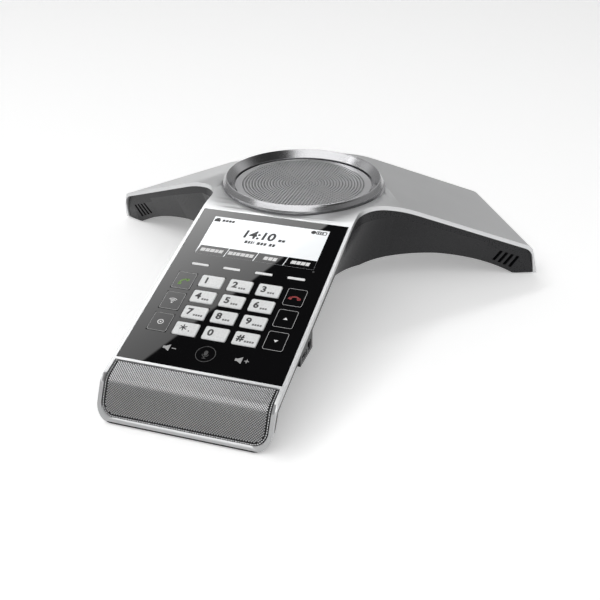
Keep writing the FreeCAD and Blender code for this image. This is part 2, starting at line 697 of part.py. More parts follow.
def make_top_shell():
    """The silver cover: roof, skirt and three end walls, with seats for panel, grille and speaker ring."""
    wall, end = number("wall"), number("end_wall")
    base = number("base_height")
    outer = upper_form(0, 0, 0, base)
    cavity = upper_form(wall, wall, end, base - 5)
    below = under_roof(number("skirt"), end, base - 5)
    shell = outer.cut(below).cut(cavity)
    inner_limit = upper_form(1.0, 1.0, 1.0, base)

    seat_depth = number("panel_thickness") + 0.1
    width, length = number("panel_width"), number("panel_length")
    ledge = panel_block(94, -3, length + 2.5, seat_depth, seat_depth + number("ledge"))
    shell = shell.fuse(ledge.common(inner_limit))
    shell = shell.cut(panel_block(width + 0.3, -0.1, length + 0.1, -5, seat_depth))
    shell = shell.cut(panel_block(width - 3.4, 1.6, length - 1.6, 0, 12))

    ring, seat = number("ring_outer"), number("ring_bottom")
    tube = Part.makeCylinder(ring + 2, 8, Vector(0, 0, seat - 2))
    shell = shell.fuse(tube.common(inner_limit))
    shell = shell.cut(Part.makeCylinder(ring + 0.1, 40, Vector(0, 0, seat)))
    shell = shell.cut(Part.makeCylinder(43.2, 40, Vector(0, 0, seat - 10)))

    joint = number("boss_joint_height")
    for x, y in screw_places():
        boss = Part.makeCylinder(number("boss_radius"), HIGH, Vector(x, y, joint))
        limit = Part.makeCylinder(ring + 2, seat - 1, Vector(0, 0, 0)) if y < -40 else inner_limit
        boss = boss.common(limit)
        pilot = Part.makeCylinder(number("screw_shank") + 0.05, 12.0, Vector(x, y, joint - 1))
        shell = shell.fuse(boss).cut(pilot)

    rind = outer.cut(upper_form(1.35, 1.35, 1.35, base - 5))
    shell = shell.cut(rind.common(grille_window(0)))
    shell = shell.cut(grille_window(1.6).common(upper_form(0.5, 0.5, 0.5, base)))
    shell = shell.cut(nose_block(base - 1, number("sole_top") + 0.05))
    leaning = lower_form(-number("shell_step") - 0.02)
    for arm in ("right", "left"):
        corners = Part.makeBox(60, 120, 20, Vector(110, -60, -1))
        corners.rotate(Vector(0, 0, 0), Vector(0, 0, 1), HEADINGS[arm])
        shell = shell.cut(corners.cut(leaning))
    shell_feature("top_shell", shell)


def make_front_grille():
    """The fine mesh over the nose, a thin skin that follows the bend, its weave too fine to model here."""
    base = number("base_height")
    skin = upper_form(0, 0, 0, base).cut(upper_form(1.25, 1.25, 1.25, base - 5))
    shell_feature("front_grille", skin.common(grille_window(0.1)))


def bay_blocks():
    """The battery bay's block and the hollows in it: the bay itself, the door's seat and its run-out."""
    half, hub = number("door_width") / 2, number("hub_bottom")
    front, length = number("door_front"), number("door_length")
    seat = number("door_thickness") + 0.1
    travel = number("door_travel")
    block = Part.makeBox(2 * half + 4, length + travel + 4, 19.5,
                         Vector(-half - 2, -front - travel - 2, hub))
    bay = Part.makeBox(number("battery_width") + 0.6, number("battery_length") + 4.6, 15.2,
                       Vector(-number("battery_width") / 2 - 0.3, -front + 2.7, hub))
    door_seat = Part.makeBox(2 * half + 0.4, length + travel + 0.5, seat + 5,
                             Vector(-half - 0.2, -front - travel - 0.3, hub - 5))
    return block, bay, door_seat


SLOT = {"count": 4, "width": 2.2, "lean": 21.5, "along": 116.6, "up": 12.1, "length": 8.6,
        "pitch": 3.83, "pitch_down": 1.97, "growth": 0.37}


def slot_cutters(arm, side):
    """Leaning sound slots through an arm's flank, near its end, each lower and longer than the last."""
    cutters = []
    for i in range(SLOT["count"]):
        length = SLOT["length"] + SLOT["growth"] * i
        slot = Part.makeBox(SLOT["width"], 20, length, Vector(0, 30 if side > 0 else -50, 0))
        slot.rotate(Vector(0, 0, 0), Vector(0, 1, 0), SLOT["lean"])
        slot.translate(Vector(SLOT["along"] + SLOT["pitch"] * i, 0, SLOT["up"] - SLOT["pitch_down"] * i))
        slot.rotate(Vector(0, 0, 0), Vector(0, 0, 1), HEADINGS[arm])
        cutters.append(slot)
    return cutters


def make_bottom_housing():
    """The dark lower body: hollow, arched underneath, with the battery bay, bosses, slots and socket pod."""
    wall, base = number("wall"), number("base_height")
    step, end = number("shell_step"), number("end_wall") + 0.1
    trim = upper_form(step, number("skirt") + 0.05, end, base)
    outer = lower_form(0).common(trim).cut(space_below(0))
    cavity = lower_form(wall).common(upper_form(step + wall, number("skirt") - 3, end + wall, base))
    cavity = cavity.cut(space_below(wall))
    cavity = cavity.cut(Part.makeBox(400, 400, base + wall + 30, Vector(-200, -200, -30)))
    body = outer.cut(cavity)

    near, far = number("pod_near"), number("pod_far")
    bottom, face = number("pod_bottom"), number("pod_face")
    pod_roof = under_roof(number("skirt") + 0.05, end, base)
    pod = Part.makeBox(face - 36, far - near, 11.4, Vector(36, -far, bottom)).common(pod_roof)
    hollow = Part.makeBox(face - 29, far - near - 4, 8.6, Vector(27, -far + 2, bottom + 1.0))
    body = body.fuse(pod).cut(hollow)
    jack_start = Vector(face - 5, -JACK[0], JACK[1])
    jack = Part.makeCylinder(number("jack_body") + 0.1, 10, jack_start, Vector(1, 0, 0))
    usb = Part.makeBox(10, 8.2, 3.2, Vector(face - 5, -USB[0] - 4.1, USB[1] - 1.6))
    body = body.cut(jack).cut(usb)
    flange_edge = number("side_across") + number("side_width") / 2 + number("flange_rim")
    body = body.cut(panel_block(2 * flange_edge + 1.5, 42.0, number("panel_length"), 0, 9.0))

    block, bay, door_seat = bay_blocks()
    body = body.fuse(block.common(lower_form(1.0))).cut(bay).cut(door_seat)

    for arm in ("right", "left"):
        for side in (-1, 1):
            for slot in slot_cutters(arm, side):
                body = body.cut(slot)

    joint = number("boss_joint_height")
    for x, y in screw_places():
        boss = Part.makeCylinder(number("boss_radius") + 1, 14.0, Vector(x, y, joint - 14.0))
        boss = boss.common(lower_form(0.5)).cut(space_below(0.5))
        body = body.fuse(boss)
    for x, y in screw_places():
        body = body.cut(Part.makeCylinder(1.7, 30, Vector(x, y, 0)))
        body = body.cut(Part.makeCylinder(number("screw_head") + 0.35, joint - 2.5, Vector(x, y, 0)))

    sole = upper_form(0.3, 0, 0.3, base).common(nose_block(base, number("sole_top")))
    body = body.fuse(sole.cut(space_below(0)))
    for arm in HEADINGS:
        pocket = foot_block(arm, 0.15, number("foot_thickness") + 0.6)
        body = body.cut(pocket)
    shell_feature("bottom_housing", body)


def foot_block(arm, margin, height):
    """A block where an arm's rubber foot sits, from z = 0 upwards."""
    kind = "front" if arm == "front" else "rear"
    width, depth = number(f"{kind}_foot_width"), number(f"{kind}_foot_depth")
    middle = FOOT_PLACES[arm]
    block = Part.makeBox(depth + 2 * margin, width + 2 * margin, height,
                         Vector(middle - depth / 2 - margin, -width / 2 - margin, 0))
    block.rotate(Vector(0, 0, 0), Vector(0, 0, 1), HEADINGS[arm])
    return block


# --- boards, battery, sockets -------------------------------------------------------------------------------


def make_boards():
    """The main board with its shield can, the port board and the antenna board."""
    board_frame = shifted(HUB, 0, 3.0, 19.0)
    holes = [(1.6, x, y) for x in (-23.5, 23.5) for y in (-33.5, 33.5)]
    plate("main_board", "main_board", 54.0, 74.0, cell("board_thickness"), board_frame, holes)
    can_frame = shifted(board_frame, 8.0, 18.0, number("board_thickness"))
    plate("shield_can", "shield_can", 24.0, 20.0, 2.4, can_frame)
    port_frame = shifted(HUB, 37.6, -137.75, 21.0)
    plate("port_board", "port_board", 11.0, 16.0, 0.9, port_frame)
    antenna_frame = arm_frame("left", 100.0, 0.0, 24.0)
    plate("antenna_board", "antenna_board", 12.0, 34.0, 1.0, antenna_frame)


def make_battery():
    """The battery pack, its contact block and the sliding door under them."""
    hub, front = number("hub_bottom"), number("door_front")
    battery_bottom = hub + number("door_thickness") + 0.25
    middle = -front + 3.0 + number("battery_length") / 2
    battery = plate("battery_pack", "battery_pack", cell("battery_width"), cell("battery_length"),
                    cell("battery_thickness"), shifted(HUB, 0, middle, battery_bottom - 0.05))
    doc.recompute()
    body = battery
    base = body.Tip
    rounded = dress(body, "Fillet", base, edges_where(base.Shape, is_upright), 2.0)
    rounded.Refine = True
    contacts = shifted(HUB, 0, -front + 3.0 + number("battery_length") + 2.4, hub + 5.0)
    plate("battery_contacts", "battery_contacts", 14.0, 3.0, 6.0, contacts)
    door_frame = shifted(HUB, 0, -front + number("door_length") / 2, hub)
    door = plate("battery_door", "battery_door", cell("door_width"), cell("door_length"),
                 cell("door_thickness"), door_frame)
    grips = new_sketch(door, "XY_Plane")
    for i in range(5):
        add_rectangle(grips, 22.0, 1.0, 0, 12.0 + 2.6 * i)
    pocket = door.newObject("PartDesign::Pocket", "Pocket")
    pocket.Profile = grips
    pocket.Length = 0.5
    pocket.Reversed = True


def make_sockets():
    """A micro-USB receptacle and a 3.5 mm audio socket, both opening sideways through the pod's face."""
    face = number("pod_face")
    outwards = Rotation(Vector(0, 1, 0), 90)
    usb = new_body("usb_socket")
    sketch = new_sketch(usb, "XY_Plane")
    add_rectangle(sketch, 2.8, 7.8)
    pad(usb, sketch, 5.6)
    mouth = new_sketch(usb, "XY_Plane", 0.6)
    add_rectangle(mouth, 1.9, 6.9)
    pocket = usb.newObject("PartDesign::Pocket", "Pocket")
    pocket.Profile = mouth
    pocket.Length = 5.0
    pocket.Reversed = True
    keep(usb, "usb_socket", HUB * Placement(Vector(face - 5.9, -USB[0], USB[1]), outwards))

    bore, barrel, length = cell("jack_bore"), cell("jack_body"), cell("jack_length")
    jack_base = Vector(face - length.number - 0.3, -JACK[0], JACK[1])
    jack_frame = HUB * Placement(jack_base, outwards)
    revolved("audio_socket", "audio_socket", [
        (0, 0), (barrel, 0), (barrel, length), (bore, length), (bore, 1.0), (0, 1.0)], jack_frame)


def make_microphones():
    """A microphone capsule in a rubber boot inside each arm's end."""
    places = {"front": (182.0, 8.0), "right": (127.0, 9.4), "left": (127.0, 9.4)}
    boot, mic = cell("mic_boot_radius"), cell("mic_radius")
    height, depth = cell("mic_boot_height"), cell("mic_height")
    for arm, (along, up) in places.items():
        frame = arm_frame(arm, along, 0.0, up)
        revolved(f"{arm}_mic_boot", f"{arm}_mic_boot", [
            (0, 0), (boot, 0), (boot, height), (1.2, height), (1.2, depth + 0.8), (mic, depth + 0.8),
            (mic, 0.8), (0, 0.8)], frame)
        capsule_frame = shifted(frame, 0, 0, 0.8)
        revolved(f"{arm}_microphone", f"{arm}_microphone", [(0, 0), (mic, 0), (mic, depth), (0, depth)],
                 capsule_frame)


def make_feet():
    """A rubber pad under each arm's end."""
    for arm in HEADINGS:
        kind = "front" if arm == "front" else "rear"
        depth, width = cell(f"{kind}_foot_depth"), cell(f"{kind}_foot_width")
        frame = arm_frame(arm, FOOT_PLACES[arm])
        plate(f"{arm}_foot", f"{arm}_foot", depth, width, cell("foot_thickness"), frame)


def make_screws():
    """The six housing screws, as separate solids in one sub-part."""
    head_seat = number("boss_joint_height") - 2.5
    screws = []
    for x, y in screw_places():
        head = doc.addObject("Part::Cylinder", "ScrewHead")
        bind(head, Radius=cell("screw_head"), Height=cell("screw_head_height"))
        head.Placement = Placement(Vector(x, y, head_seat - number("screw_head_height")), Rotation())
        shank = doc.addObject("Part::Cylinder", "ScrewShank")
        bind(shank, Radius=cell("screw_shank"), Height=cell("screw_length"))
        shank.Placement = Placement(Vector(x, y, head_seat - 0.5), Rotation())
        drive = doc.addObject("Part::Box", "ScrewDrive")
        bind(drive, Length=Size(3.2), Width=Size(0.8), Height=Size(1.0))
        drive.Placement = shifted(Placement(), x - 1.6, y - 0.4, head_seat - number("screw_head_height"))
        blank = doc.addObject("Part::Fuse", "ScrewBlank")
        blank.Base, blank.Tool = head, shank
        screw = doc.addObject("Part::Cut", "Screw")
        screw.Base, screw.Tool = blank, drive
        screws.append(screw)
    group = doc.addObject("Part::Compound", "housing_screws")
    group.Links = screws
    keep(group, "housing_screws", HUB)


def check_and_export():
    """Stop on any failed object, then write each sub-part to its own STEP file."""
    doc.recompute()
    for item in doc.Objects:
        if "Invalid" in item.State or "Error" in item.State:
            raise RuntimeError(f"{item.Label} failed: {item.State}")
    os.makedirs("parts", exist_ok=True)
    for item in parts:
        shape = item.Shape
        if shape.isNull() or not shape.isValid() or not shape.Solids:
            raise RuntimeError(f"{item.Label} has no valid solid")
        print(f"{item.Label}: {len(shape.Solids)} solid(s), {shape.Volume:.0f} mm3")
    for item in parts:
        item.Shape.exportStep(f"parts/{item.Label}.step")


make_top_shell()
make_bottom_housing()
make_front_grille()
make_face_panel()
make_display()
make_keypad()
for label, kind, across, down in key_places():
    make_key(label, kind, across, down)
make_speaker_ring()
make_speaker_grille()
make_speaker()
make_boards()
make_battery()
make_sockets()
make_microphones()
make_feet()
make_screws()
check_and_export()
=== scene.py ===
"""Looks of the three-armed conference phone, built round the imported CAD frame.

Blender works in metres. Points of the panel and the nose are given in millimetres and turned by MM.
"""
import math

import bmesh
import bpy
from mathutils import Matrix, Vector
from mathutils.geometry import delaunay_2d_cdt


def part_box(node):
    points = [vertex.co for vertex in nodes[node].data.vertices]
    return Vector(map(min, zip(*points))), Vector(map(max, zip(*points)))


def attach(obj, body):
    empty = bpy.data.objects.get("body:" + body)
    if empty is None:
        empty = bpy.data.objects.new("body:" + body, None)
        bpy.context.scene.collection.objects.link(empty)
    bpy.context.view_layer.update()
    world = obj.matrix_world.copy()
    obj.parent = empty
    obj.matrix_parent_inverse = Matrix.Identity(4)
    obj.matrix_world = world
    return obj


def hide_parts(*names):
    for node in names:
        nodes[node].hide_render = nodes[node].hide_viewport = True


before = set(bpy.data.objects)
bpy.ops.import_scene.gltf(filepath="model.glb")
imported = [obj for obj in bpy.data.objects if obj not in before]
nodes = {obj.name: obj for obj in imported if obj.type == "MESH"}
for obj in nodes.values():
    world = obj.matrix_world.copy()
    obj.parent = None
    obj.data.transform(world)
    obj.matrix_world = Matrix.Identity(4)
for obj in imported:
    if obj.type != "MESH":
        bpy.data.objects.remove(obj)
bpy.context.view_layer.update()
scene = bpy.context.scene
MM = 0.001

# the foot of the hub axis, which is the middle of the loudspeaker's ring
RING_LOW, RING_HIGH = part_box("speaker_ring")
HUB = Vector((0, (RING_LOW.y + RING_HIGH.y) / 2, 0))
# the control panel: its slope, the middle of its top edge, and its own three directions
SLOPE = math.radians(15.5)
PANEL_TOP = HUB + Vector((0, -54.54, 57.96)) * MM
ACROSS = Vector((1, 0, 0))
DOWN = Vector((0, -math.cos(SLOPE), -math.sin(SLOPE)))
OUT = Vector((0, -math.sin(SLOPE), math.cos(SLOPE)))


# ---------------------------------------------------------------- helpers

def on_panel(x, v, h=0.0):
    """A point of the control panel, in millimetres across, down from the top edge and above the face."""
    return PANEL_TOP + (ACROSS * x + DOWN * v + OUT * h) * MM


def new_piece(name, verts, faces, material, body="phone", smooth=False):
    """A mesh piece that rides on a body and takes the material it is given."""
    mesh = bpy.data.meshes.new(name)
    mesh.from_pydata([tuple(v) for v in verts], [], [tuple(f) for f in faces])
    mesh.validate()
    piece = bpy.data.objects.new(name, mesh)
    scene.collection.objects.link(piece)
    finish_mesh(piece, material, smooth)
    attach(piece, body)
    return piece


def finish_mesh(piece, material, smooth):
    """Turn a new mesh's faces outwards and give it its material and shading."""
    mesh = piece.data
    shape = bmesh.new()
    shape.from_mesh(mesh)
    bmesh.ops.recalc_face_normals(shape, faces=shape.faces[:])
    shape.to_mesh(mesh)
    shape.free()
    mesh.materials.clear()
    mesh.materials.append(material)
    for polygon in mesh.polygons:
        polygon.use_smooth = smooth


def dress(node, material):
    """Give a CAD node its material."""
    mesh = nodes[node].data
    if not mesh.materials:
        mesh.materials.append(material)
    for i in range(len(mesh.materials)):
        mesh.materials[i] = material


class Shader:
    """A small wrapper for building a node material."""

    def __init__(self, name, color, roughness=0.5, metallic=0.0, **extra):
        self.material = bpy.data.materials.new(name)
        self.material.use_nodes = True
        self.tree = self.material.node_tree
        self.bsdf = self.tree.nodes["Principled BSDF"]
        self.set("Base Color", (*color, 1.0))
        self.set("Roughness", roughness)
        self.set("Metallic", metallic)
        for key, value in extra.items():
            self.set(key.replace("_", " "), value)
        self.material.diffuse_color = (*color, 1.0)
        self.coords = self.tree.nodes.new("ShaderNodeTexCoord").outputs["Object"]
        self.normal = None

    def set(self, socket, value):
        """Set one of the surface's own sockets."""
        self.bsdf.inputs[socket].default_value = value

    def link(self, source, target):
        """Feed one socket into another."""
        self.tree.links.new(source, target)

    def add(self, kind, **settings):
        """A new node whose settings are sockets or properties."""
        node = self.tree.nodes.new(kind)
        for key, value in settings.items():
            if key in node.inputs:
                node.inputs[key].default_value = value
            else:
                setattr(node, key, value)
        return node

    def noise(self, scale, detail, stretch=(1, 1, 1)):
        """A noise over the object's own coordinates."""
        mapping = self.add("ShaderNodeMapping")
        mapping.inputs["Scale"].default_value = stretch
        self.link(self.coords, mapping.inputs["Vector"])
        node = self.add("ShaderNodeTexNoise", Scale=scale, Detail=detail)
        self.link(mapping.outputs["Vector"], node.inputs["Vector"])
        return node.outputs["Fac"]

    def span(self, source, low, high, source_low=0.3, source_high=0.7):
        """The source's range mapped to low and high."""
        node = self.add("ShaderNodeMapRange")
        node.inputs["From Min"].default_value = source_low
        node.inputs["From Max"].default_value = source_high
        node.inputs["To Min"].default_value = low
        node.inputs["To Max"].default_value = high
        self.link(source, node.inputs["Value"])
        return node.outputs["Result"]

    def blend_color(self, factor, dark, light):
        """Mix the base colour from dark to light."""
        node = self.add("ShaderNodeMix", data_type="RGBA")
        self.link(factor, node.inputs["Factor"])
        node.inputs["A"].default_value = (*dark, 1)
        node.inputs["B"].default_value = (*light, 1)
        self.link(node.outputs["Result"], self.bsdf.inputs["Base Color"])

    def bump(self, height, strength, distance):
        """Raise the surface by a height, on top of any earlier bump."""
        node = self.add("ShaderNodeBump", Strength=strength, Distance=distance)
        self.link(height, node.inputs["Height"])
        if self.normal:
            self.link(self.normal, node.inputs["Normal"])
        self.normal = node.outputs["Normal"]
        self.link(self.normal, self.bsdf.inputs["Normal"])


def grained(name, dark, light, roughness, spread=0.06, metallic=0.0, grain=900.0, bump=0.1,
            depth=0.0002, patch=18.0, stretch=(1, 1, 1), **extra):
    """A moulded or painted surface: faint patches of tone, a fine grain and uneven roughness."""
    shader = Shader(name, light, roughness, metallic, **extra)
    patches = shader.noise(patch, 4.0)
    shader.blend_color(shader.span(patches, 0.0, 1.0), dark, light)
    fine = shader.noise(grain, 3.0, stretch)
    shader.link(shader.span(fine, roughness - spread, roughness + spread), shader.bsdf.inputs["Roughness"])
    if bump:
        shader.bump(fine, bump, depth)
    return shader.material


def grey(level):
    """A colour with three equal parts."""
    return (level, level, level)


def printed(name, dark, light, roughness=0.5, spread=0.08):
    """A printing ink: no bump, only a faint unevenness."""
    return grained(name, dark, light, roughness, spread, grain=2000.0, bump=0.0)


# ---------------------------------------------------------------- materials

silver = grained("silver_paint", (0.66, 0.665, 0.67), (0.70, 0.705, 0.71), 0.36, 0.04, metallic=0.75,
                 grain=2600.0, bump=0.04, depth=0.00005)
charcoal = grained("charcoal_plastic", (0.010, 0.010, 0.0115), (0.015, 0.015, 0.0165), 0.30, 0.06,
                   grain=1500.0, bump=0.12, depth=0.0001, Specular_IOR_Level=0.3)
mesh_metal = grained("mesh_metal", (0.56, 0.56, 0.57), (0.66, 0.66, 0.67), 0.38, 0.06, metallic=0.8,
                     grain=1200.0, bump=0.1)
cloth_black = grained("grille_backing", (0.012, 0.012, 0.013), (0.022, 0.022, 0.023), 0.9, 0.05, grain=2400.0,
                      bump=0.4)
stitch_metal = grained("bead_metal", (0.74, 0.74, 0.75), (0.85, 0.85, 0.86), 0.25, 0.05, metallic=0.7,
                       grain=1500.0, bump=0.05)
gloss = grained("gloss_black", (0.0022, 0.0022, 0.0026), (0.0034, 0.0034, 0.004), 0.012, 0.005, grain=160.0,
                bump=0.0)
ring_metal = grained("turned_metal", (0.43, 0.43, 0.44), (0.51, 0.51, 0.52), 0.22, 0.04, metallic=1.0,
                     grain=700.0, bump=0.05, stretch=(1, 1, 14))
disc_metal = grained("disc_metal", (0.43, 0.43, 0.44), (0.52, 0.52, 0.53), 0.36, 0.06, metallic=0.9,
                     grain=1400.0, bump=0.08)
key_white = grained("key_white", (0.72, 0.73, 0.73), (0.80, 0.81, 0.81), 0.28, 0.05, grain=900.0,
                    bump=0.03, Coat_Weight=0.3)
key_black = grained("key_black", (0.0024, 0.0024, 0.0028), (0.0036, 0.0036, 0.0042), 0.02, 0.008, grain=600.0,
                    bump=0.02)
soft_white = grained("soft_white", grey(0.80), grey(0.88), 0.3, 0.05, grain=900.0, bump=0.03)
ink = printed("legend_ink", (0.020, 0.020, 0.022), (0.032, 0.032, 0.034))
pale_ink = printed("pale_ink", grey(0.76), grey(0.88))
grey_ink = printed("grey_ink", grey(0.12), grey(0.17))
line_ink = printed("line_ink", grey(0.34), grey(0.44))
green_ink = printed("green_ink", (0.13, 0.27, 0.05), (0.18, 0.34, 0.07))
red_ink = printed("red_ink", (0.22, 0.004, 0.006), (0.29, 0.008, 0.010))
faint_ink = printed("faint_ink", (0.008, 0.008, 0.0085), (0.012, 0.012, 0.0125), 0.3, 0.05)
dim_ink = printed("dim_ink", (0.022, 0.022, 0.023), (0.032, 0.032, 0.033), 0.4, 0.05)
rubber = grained("foot_rubber", (0.020, 0.020, 0.021), (0.034, 0.034, 0.035), 0.8, 0.08, grain=1100.0,
                 bump=0.3)
steel = grained("screw_steel", (0.10, 0.10, 0.11), (0.16, 0.16, 0.17), 0.4, 0.1, metallic=0.9, grain=900.0,
                bump=0.1)
tin = grained("tin_plate", (0.55, 0.55, 0.56), (0.68, 0.68, 0.69), 0.3, 0.08, metallic=1.0, grain=700.0,
              bump=0.05)
board_green = grained("solder_mask", (0.01, 0.10, 0.035), (0.02, 0.16, 0.055), 0.35, 0.08, grain=900.0,
                      bump=0.1)
wrap = grained("battery_wrap", (0.05, 0.07, 0.11), (0.07, 0.10, 0.15), 0.35, 0.06, grain=700.0, bump=0.05)
paper = grained("cone_paper", grey(0.03), grey(0.05), 0.85, 0.05, grain=1400.0, bump=0.5)
copper = grained("copper_wire", (0.55, 0.25, 0.12), (0.70, 0.35, 0.18), 0.3, 0.08, metallic=1.0,
                 grain=600.0, bump=0.1, stretch=(1, 1, 40))
amber = grained("amber_cloth", (0.30, 0.18, 0.06), (0.42, 0.27, 0.10), 0.8, 0.05, grain=1600.0, bump=0.5)
milky = grained("silicone_rubber", (0.50, 0.50, 0.49), (0.60, 0.60, 0.58), 0.6, 0.06, grain=900.0, bump=0.05)


# the display's picture cells, in millimetres across and down
CELL_ACROSS, CELL_DOWN = 0.286, 0.276


def display_material():
    """The lit face of a reflective graphic display, with its fine grid of picture cells."""
    shader = Shader("display_face", (0.84, 0.86, 0.87), 0.12, 0.0, Coat_Weight=0.4, Coat_Roughness=0.03)
    split = shader.add("ShaderNodeSeparateXYZ")
    shader.link(shader.coords, split.inputs["Vector"])
    waves = []
    for axis, pitch in (("X", CELL_ACROSS * MM), ("Y", CELL_DOWN * MM)):
        turn = shader.add("ShaderNodeMath", operation="MULTIPLY")
        turn.inputs[1].default_value = math.pi / pitch
        shader.link(split.outputs[axis], turn.inputs[0])
        wave = shader.add("ShaderNodeMath", operation="SINE")
        shader.link(turn.outputs[0], wave.inputs[0])
        size = shader.add("ShaderNodeMath", operation="ABSOLUTE")
        shader.link(wave.outputs[0], size.inputs[0])
        waves.append(size.outputs[0])
    both = shader.add("ShaderNodeMath", operation="MINIMUM")
    shader.link(waves[0], both.inputs[0])
    shader.link(waves[1], both.inputs[1])
    cells = shader.span(both.outputs[0], 0.0, 1.0, 0.0, 0.25)
    shader.blend_color(cells, (0.74, 0.76, 0.77), (0.86, 0.88, 0.89))
    shader.set("Emission Color", (0.93, 0.96, 1.0, 1.0))
    shader.set("Emission Strength", 0.25)
    return shader.material


display_face = display_material()

SIDE_KEYS = {"left": ("call", "link", "ok"), "right": ("end", "up", "down")}
MATERIALS = {
    "top_shell": silver, "bottom_housing": charcoal, "face_panel": gloss, "lcd_window": display_face,
    "lcd_module": milky, "keypad_mat": milky, "keypad_board": board_green, "touch_film": amber,
    "speaker_ring": ring_metal, "speaker_basket": steel, "speaker_magnet": steel,
    "pole_plate": steel, "voice_coil": copper, "speaker_spider": amber, "speaker_cone": paper,
    "dust_cap": paper, "speaker_surround": rubber, "main_board": board_green, "shield_can": tin,
    "port_board": board_green, "antenna_board": board_green, "battery_pack": wrap,
    "battery_contacts": charcoal, "battery_door": charcoal, "usb_socket": tin, "audio_socket": charcoal,
    "housing_screws": steel, "front_grille": mesh_metal, "speaker_grille": disc_metal,
}
for arm in ("front", "right", "left"):
    MATERIALS[f"{arm}_foot"] = rubber
    MATERIALS[f"{arm}_mic_boot"] = rubber
    MATERIALS[f"{arm}_microphone"] = tin
for name in nodes:
    if name.startswith("soft_key"):
        MATERIALS[name] = soft_white
    elif name.startswith("key_"):
        MATERIALS.setdefault(name, key_white)
for kind in SIDE_KEYS["left"] + SIDE_KEYS["right"]:
    MATERIALS[f"key_{kind}"] = key_black
for name in nodes:
    dress(name, MATERIALS[name])


# ---------------------------------------------------------------- camera, floor and light

# the camera: the point it looks at, where it stands round that point, and its lens and sensor in millimetres
TARGET = HUB + Vector((9.71, -36.88, -5.40)) * MM
AZIMUTH, ELEVATION, DISTANCE = math.radians(17.95), math.radians(28.98), 0.58808
LENS, SENSOR = 55.39, 36.0
back = Vector((math.sin(AZIMUTH) * math.cos(ELEVATION), -math.cos(AZIMUTH) * math.cos(ELEVATION),
               math.sin(ELEVATION)))
camera = bpy.data.objects.new("camera", bpy.data.cameras.new("camera"))
scene.collection.objects.link(camera)
camera.location = TARGET + back * DISTANCE
camera.rotation_mode = "QUATERNION"
camera.rotation_quaternion = (-back).to_track_quat("-Z", "Y")
camera.data.lens = LENS
camera.data.sensor_width = SENSOR
camera.data.clip_start = 0.01
camera.data.clip_end = 50.0
scene.camera = camera

FLOOR_HALF, FLOOR_SEGMENTS = 6.0, 8
FLOOR_DROP = 0.1 * MM


def make_floor():
    """A plain pale floor, just under the feet so that no two faces share a plane."""
    shape = bmesh.new()
    bmesh.ops.create_grid(shape, x_segments=FLOOR_SEGMENTS, y_segments=FLOOR_SEGMENTS, size=FLOOR_HALF)
    mesh = bpy.data.meshes.new("floor")
    shape.to_mesh(mesh)
    shape.free()
    floor = bpy.data.objects.new("floor", mesh)
    scene.collection.objects.link(floor)
    shader = Shader("floor_white", grey(0.90), 0.7, Emission_Color=(1, 1, 1, 1), Emission_Strength=0.33)
    mesh.materials.append(shader.material)
    floor.location.z = -FLOOR_DROP


def area_light(name, place, aim, size, power):
    """A soft rectangular lamp at a place, turned towards a point."""
    data = bpy.data.lights.new(name, "AREA")
    data.shape = "RECTANGLE"
    data.size, data.size_y = size
    data.energy = power
    light = bpy.data.objects.new(name, data)
    scene.collection.objects.link(light)
    light.location = place
    light.rotation_mode = "QUATERNION"
    light.rotation_quaternion = (Vector(aim) - Vector(place)).to_track_quat("-Z", "Y")


def mirrored(x, v):
    """The direction in which the panel's face sends the camera's view at a point of it."""
    ray = (on_panel(x, v) - camera.location).normalized()
    return ray - OUT * (2 * ray.dot(OUT))


# The reflector's edge is the plane whose reflection crosses the panel between two points of it.
EDGE_NORMAL = mirrored(30, 5).cross(mirrored(-30, 124)).normalized()
if EDGE_NORMAL.dot(mirrored(-40, 5)) < 0:
    EDGE_NORMAL = -EDGE_NORMAL
EDGE_SOFTNESS = 0.001
# the reflector's strength at its top and foot, how that fades with height, and where it ends below
REFLECTOR, REFLECTOR_SPAN, REFLECTOR_POWER = (1.0, 6.0), (0.755, 0.90), 2.2
REFLECTOR_FOOT = (0.66, 0.74)
# strength of the surroundings at each height of the sky, all round and then behind the phone only
AROUND = ((0.0, 0.30), (0.25, 0.36), (0.55, 0.34), (0.70, 0.04))
BEHIND = ((0.26, 0.0), (0.42, 0.75), (0.60, 0.75), (0.72, 0.0))
REAR, REAR_SPAN = (-0.31, 0.95, 0.0), (0.1, 0.5)


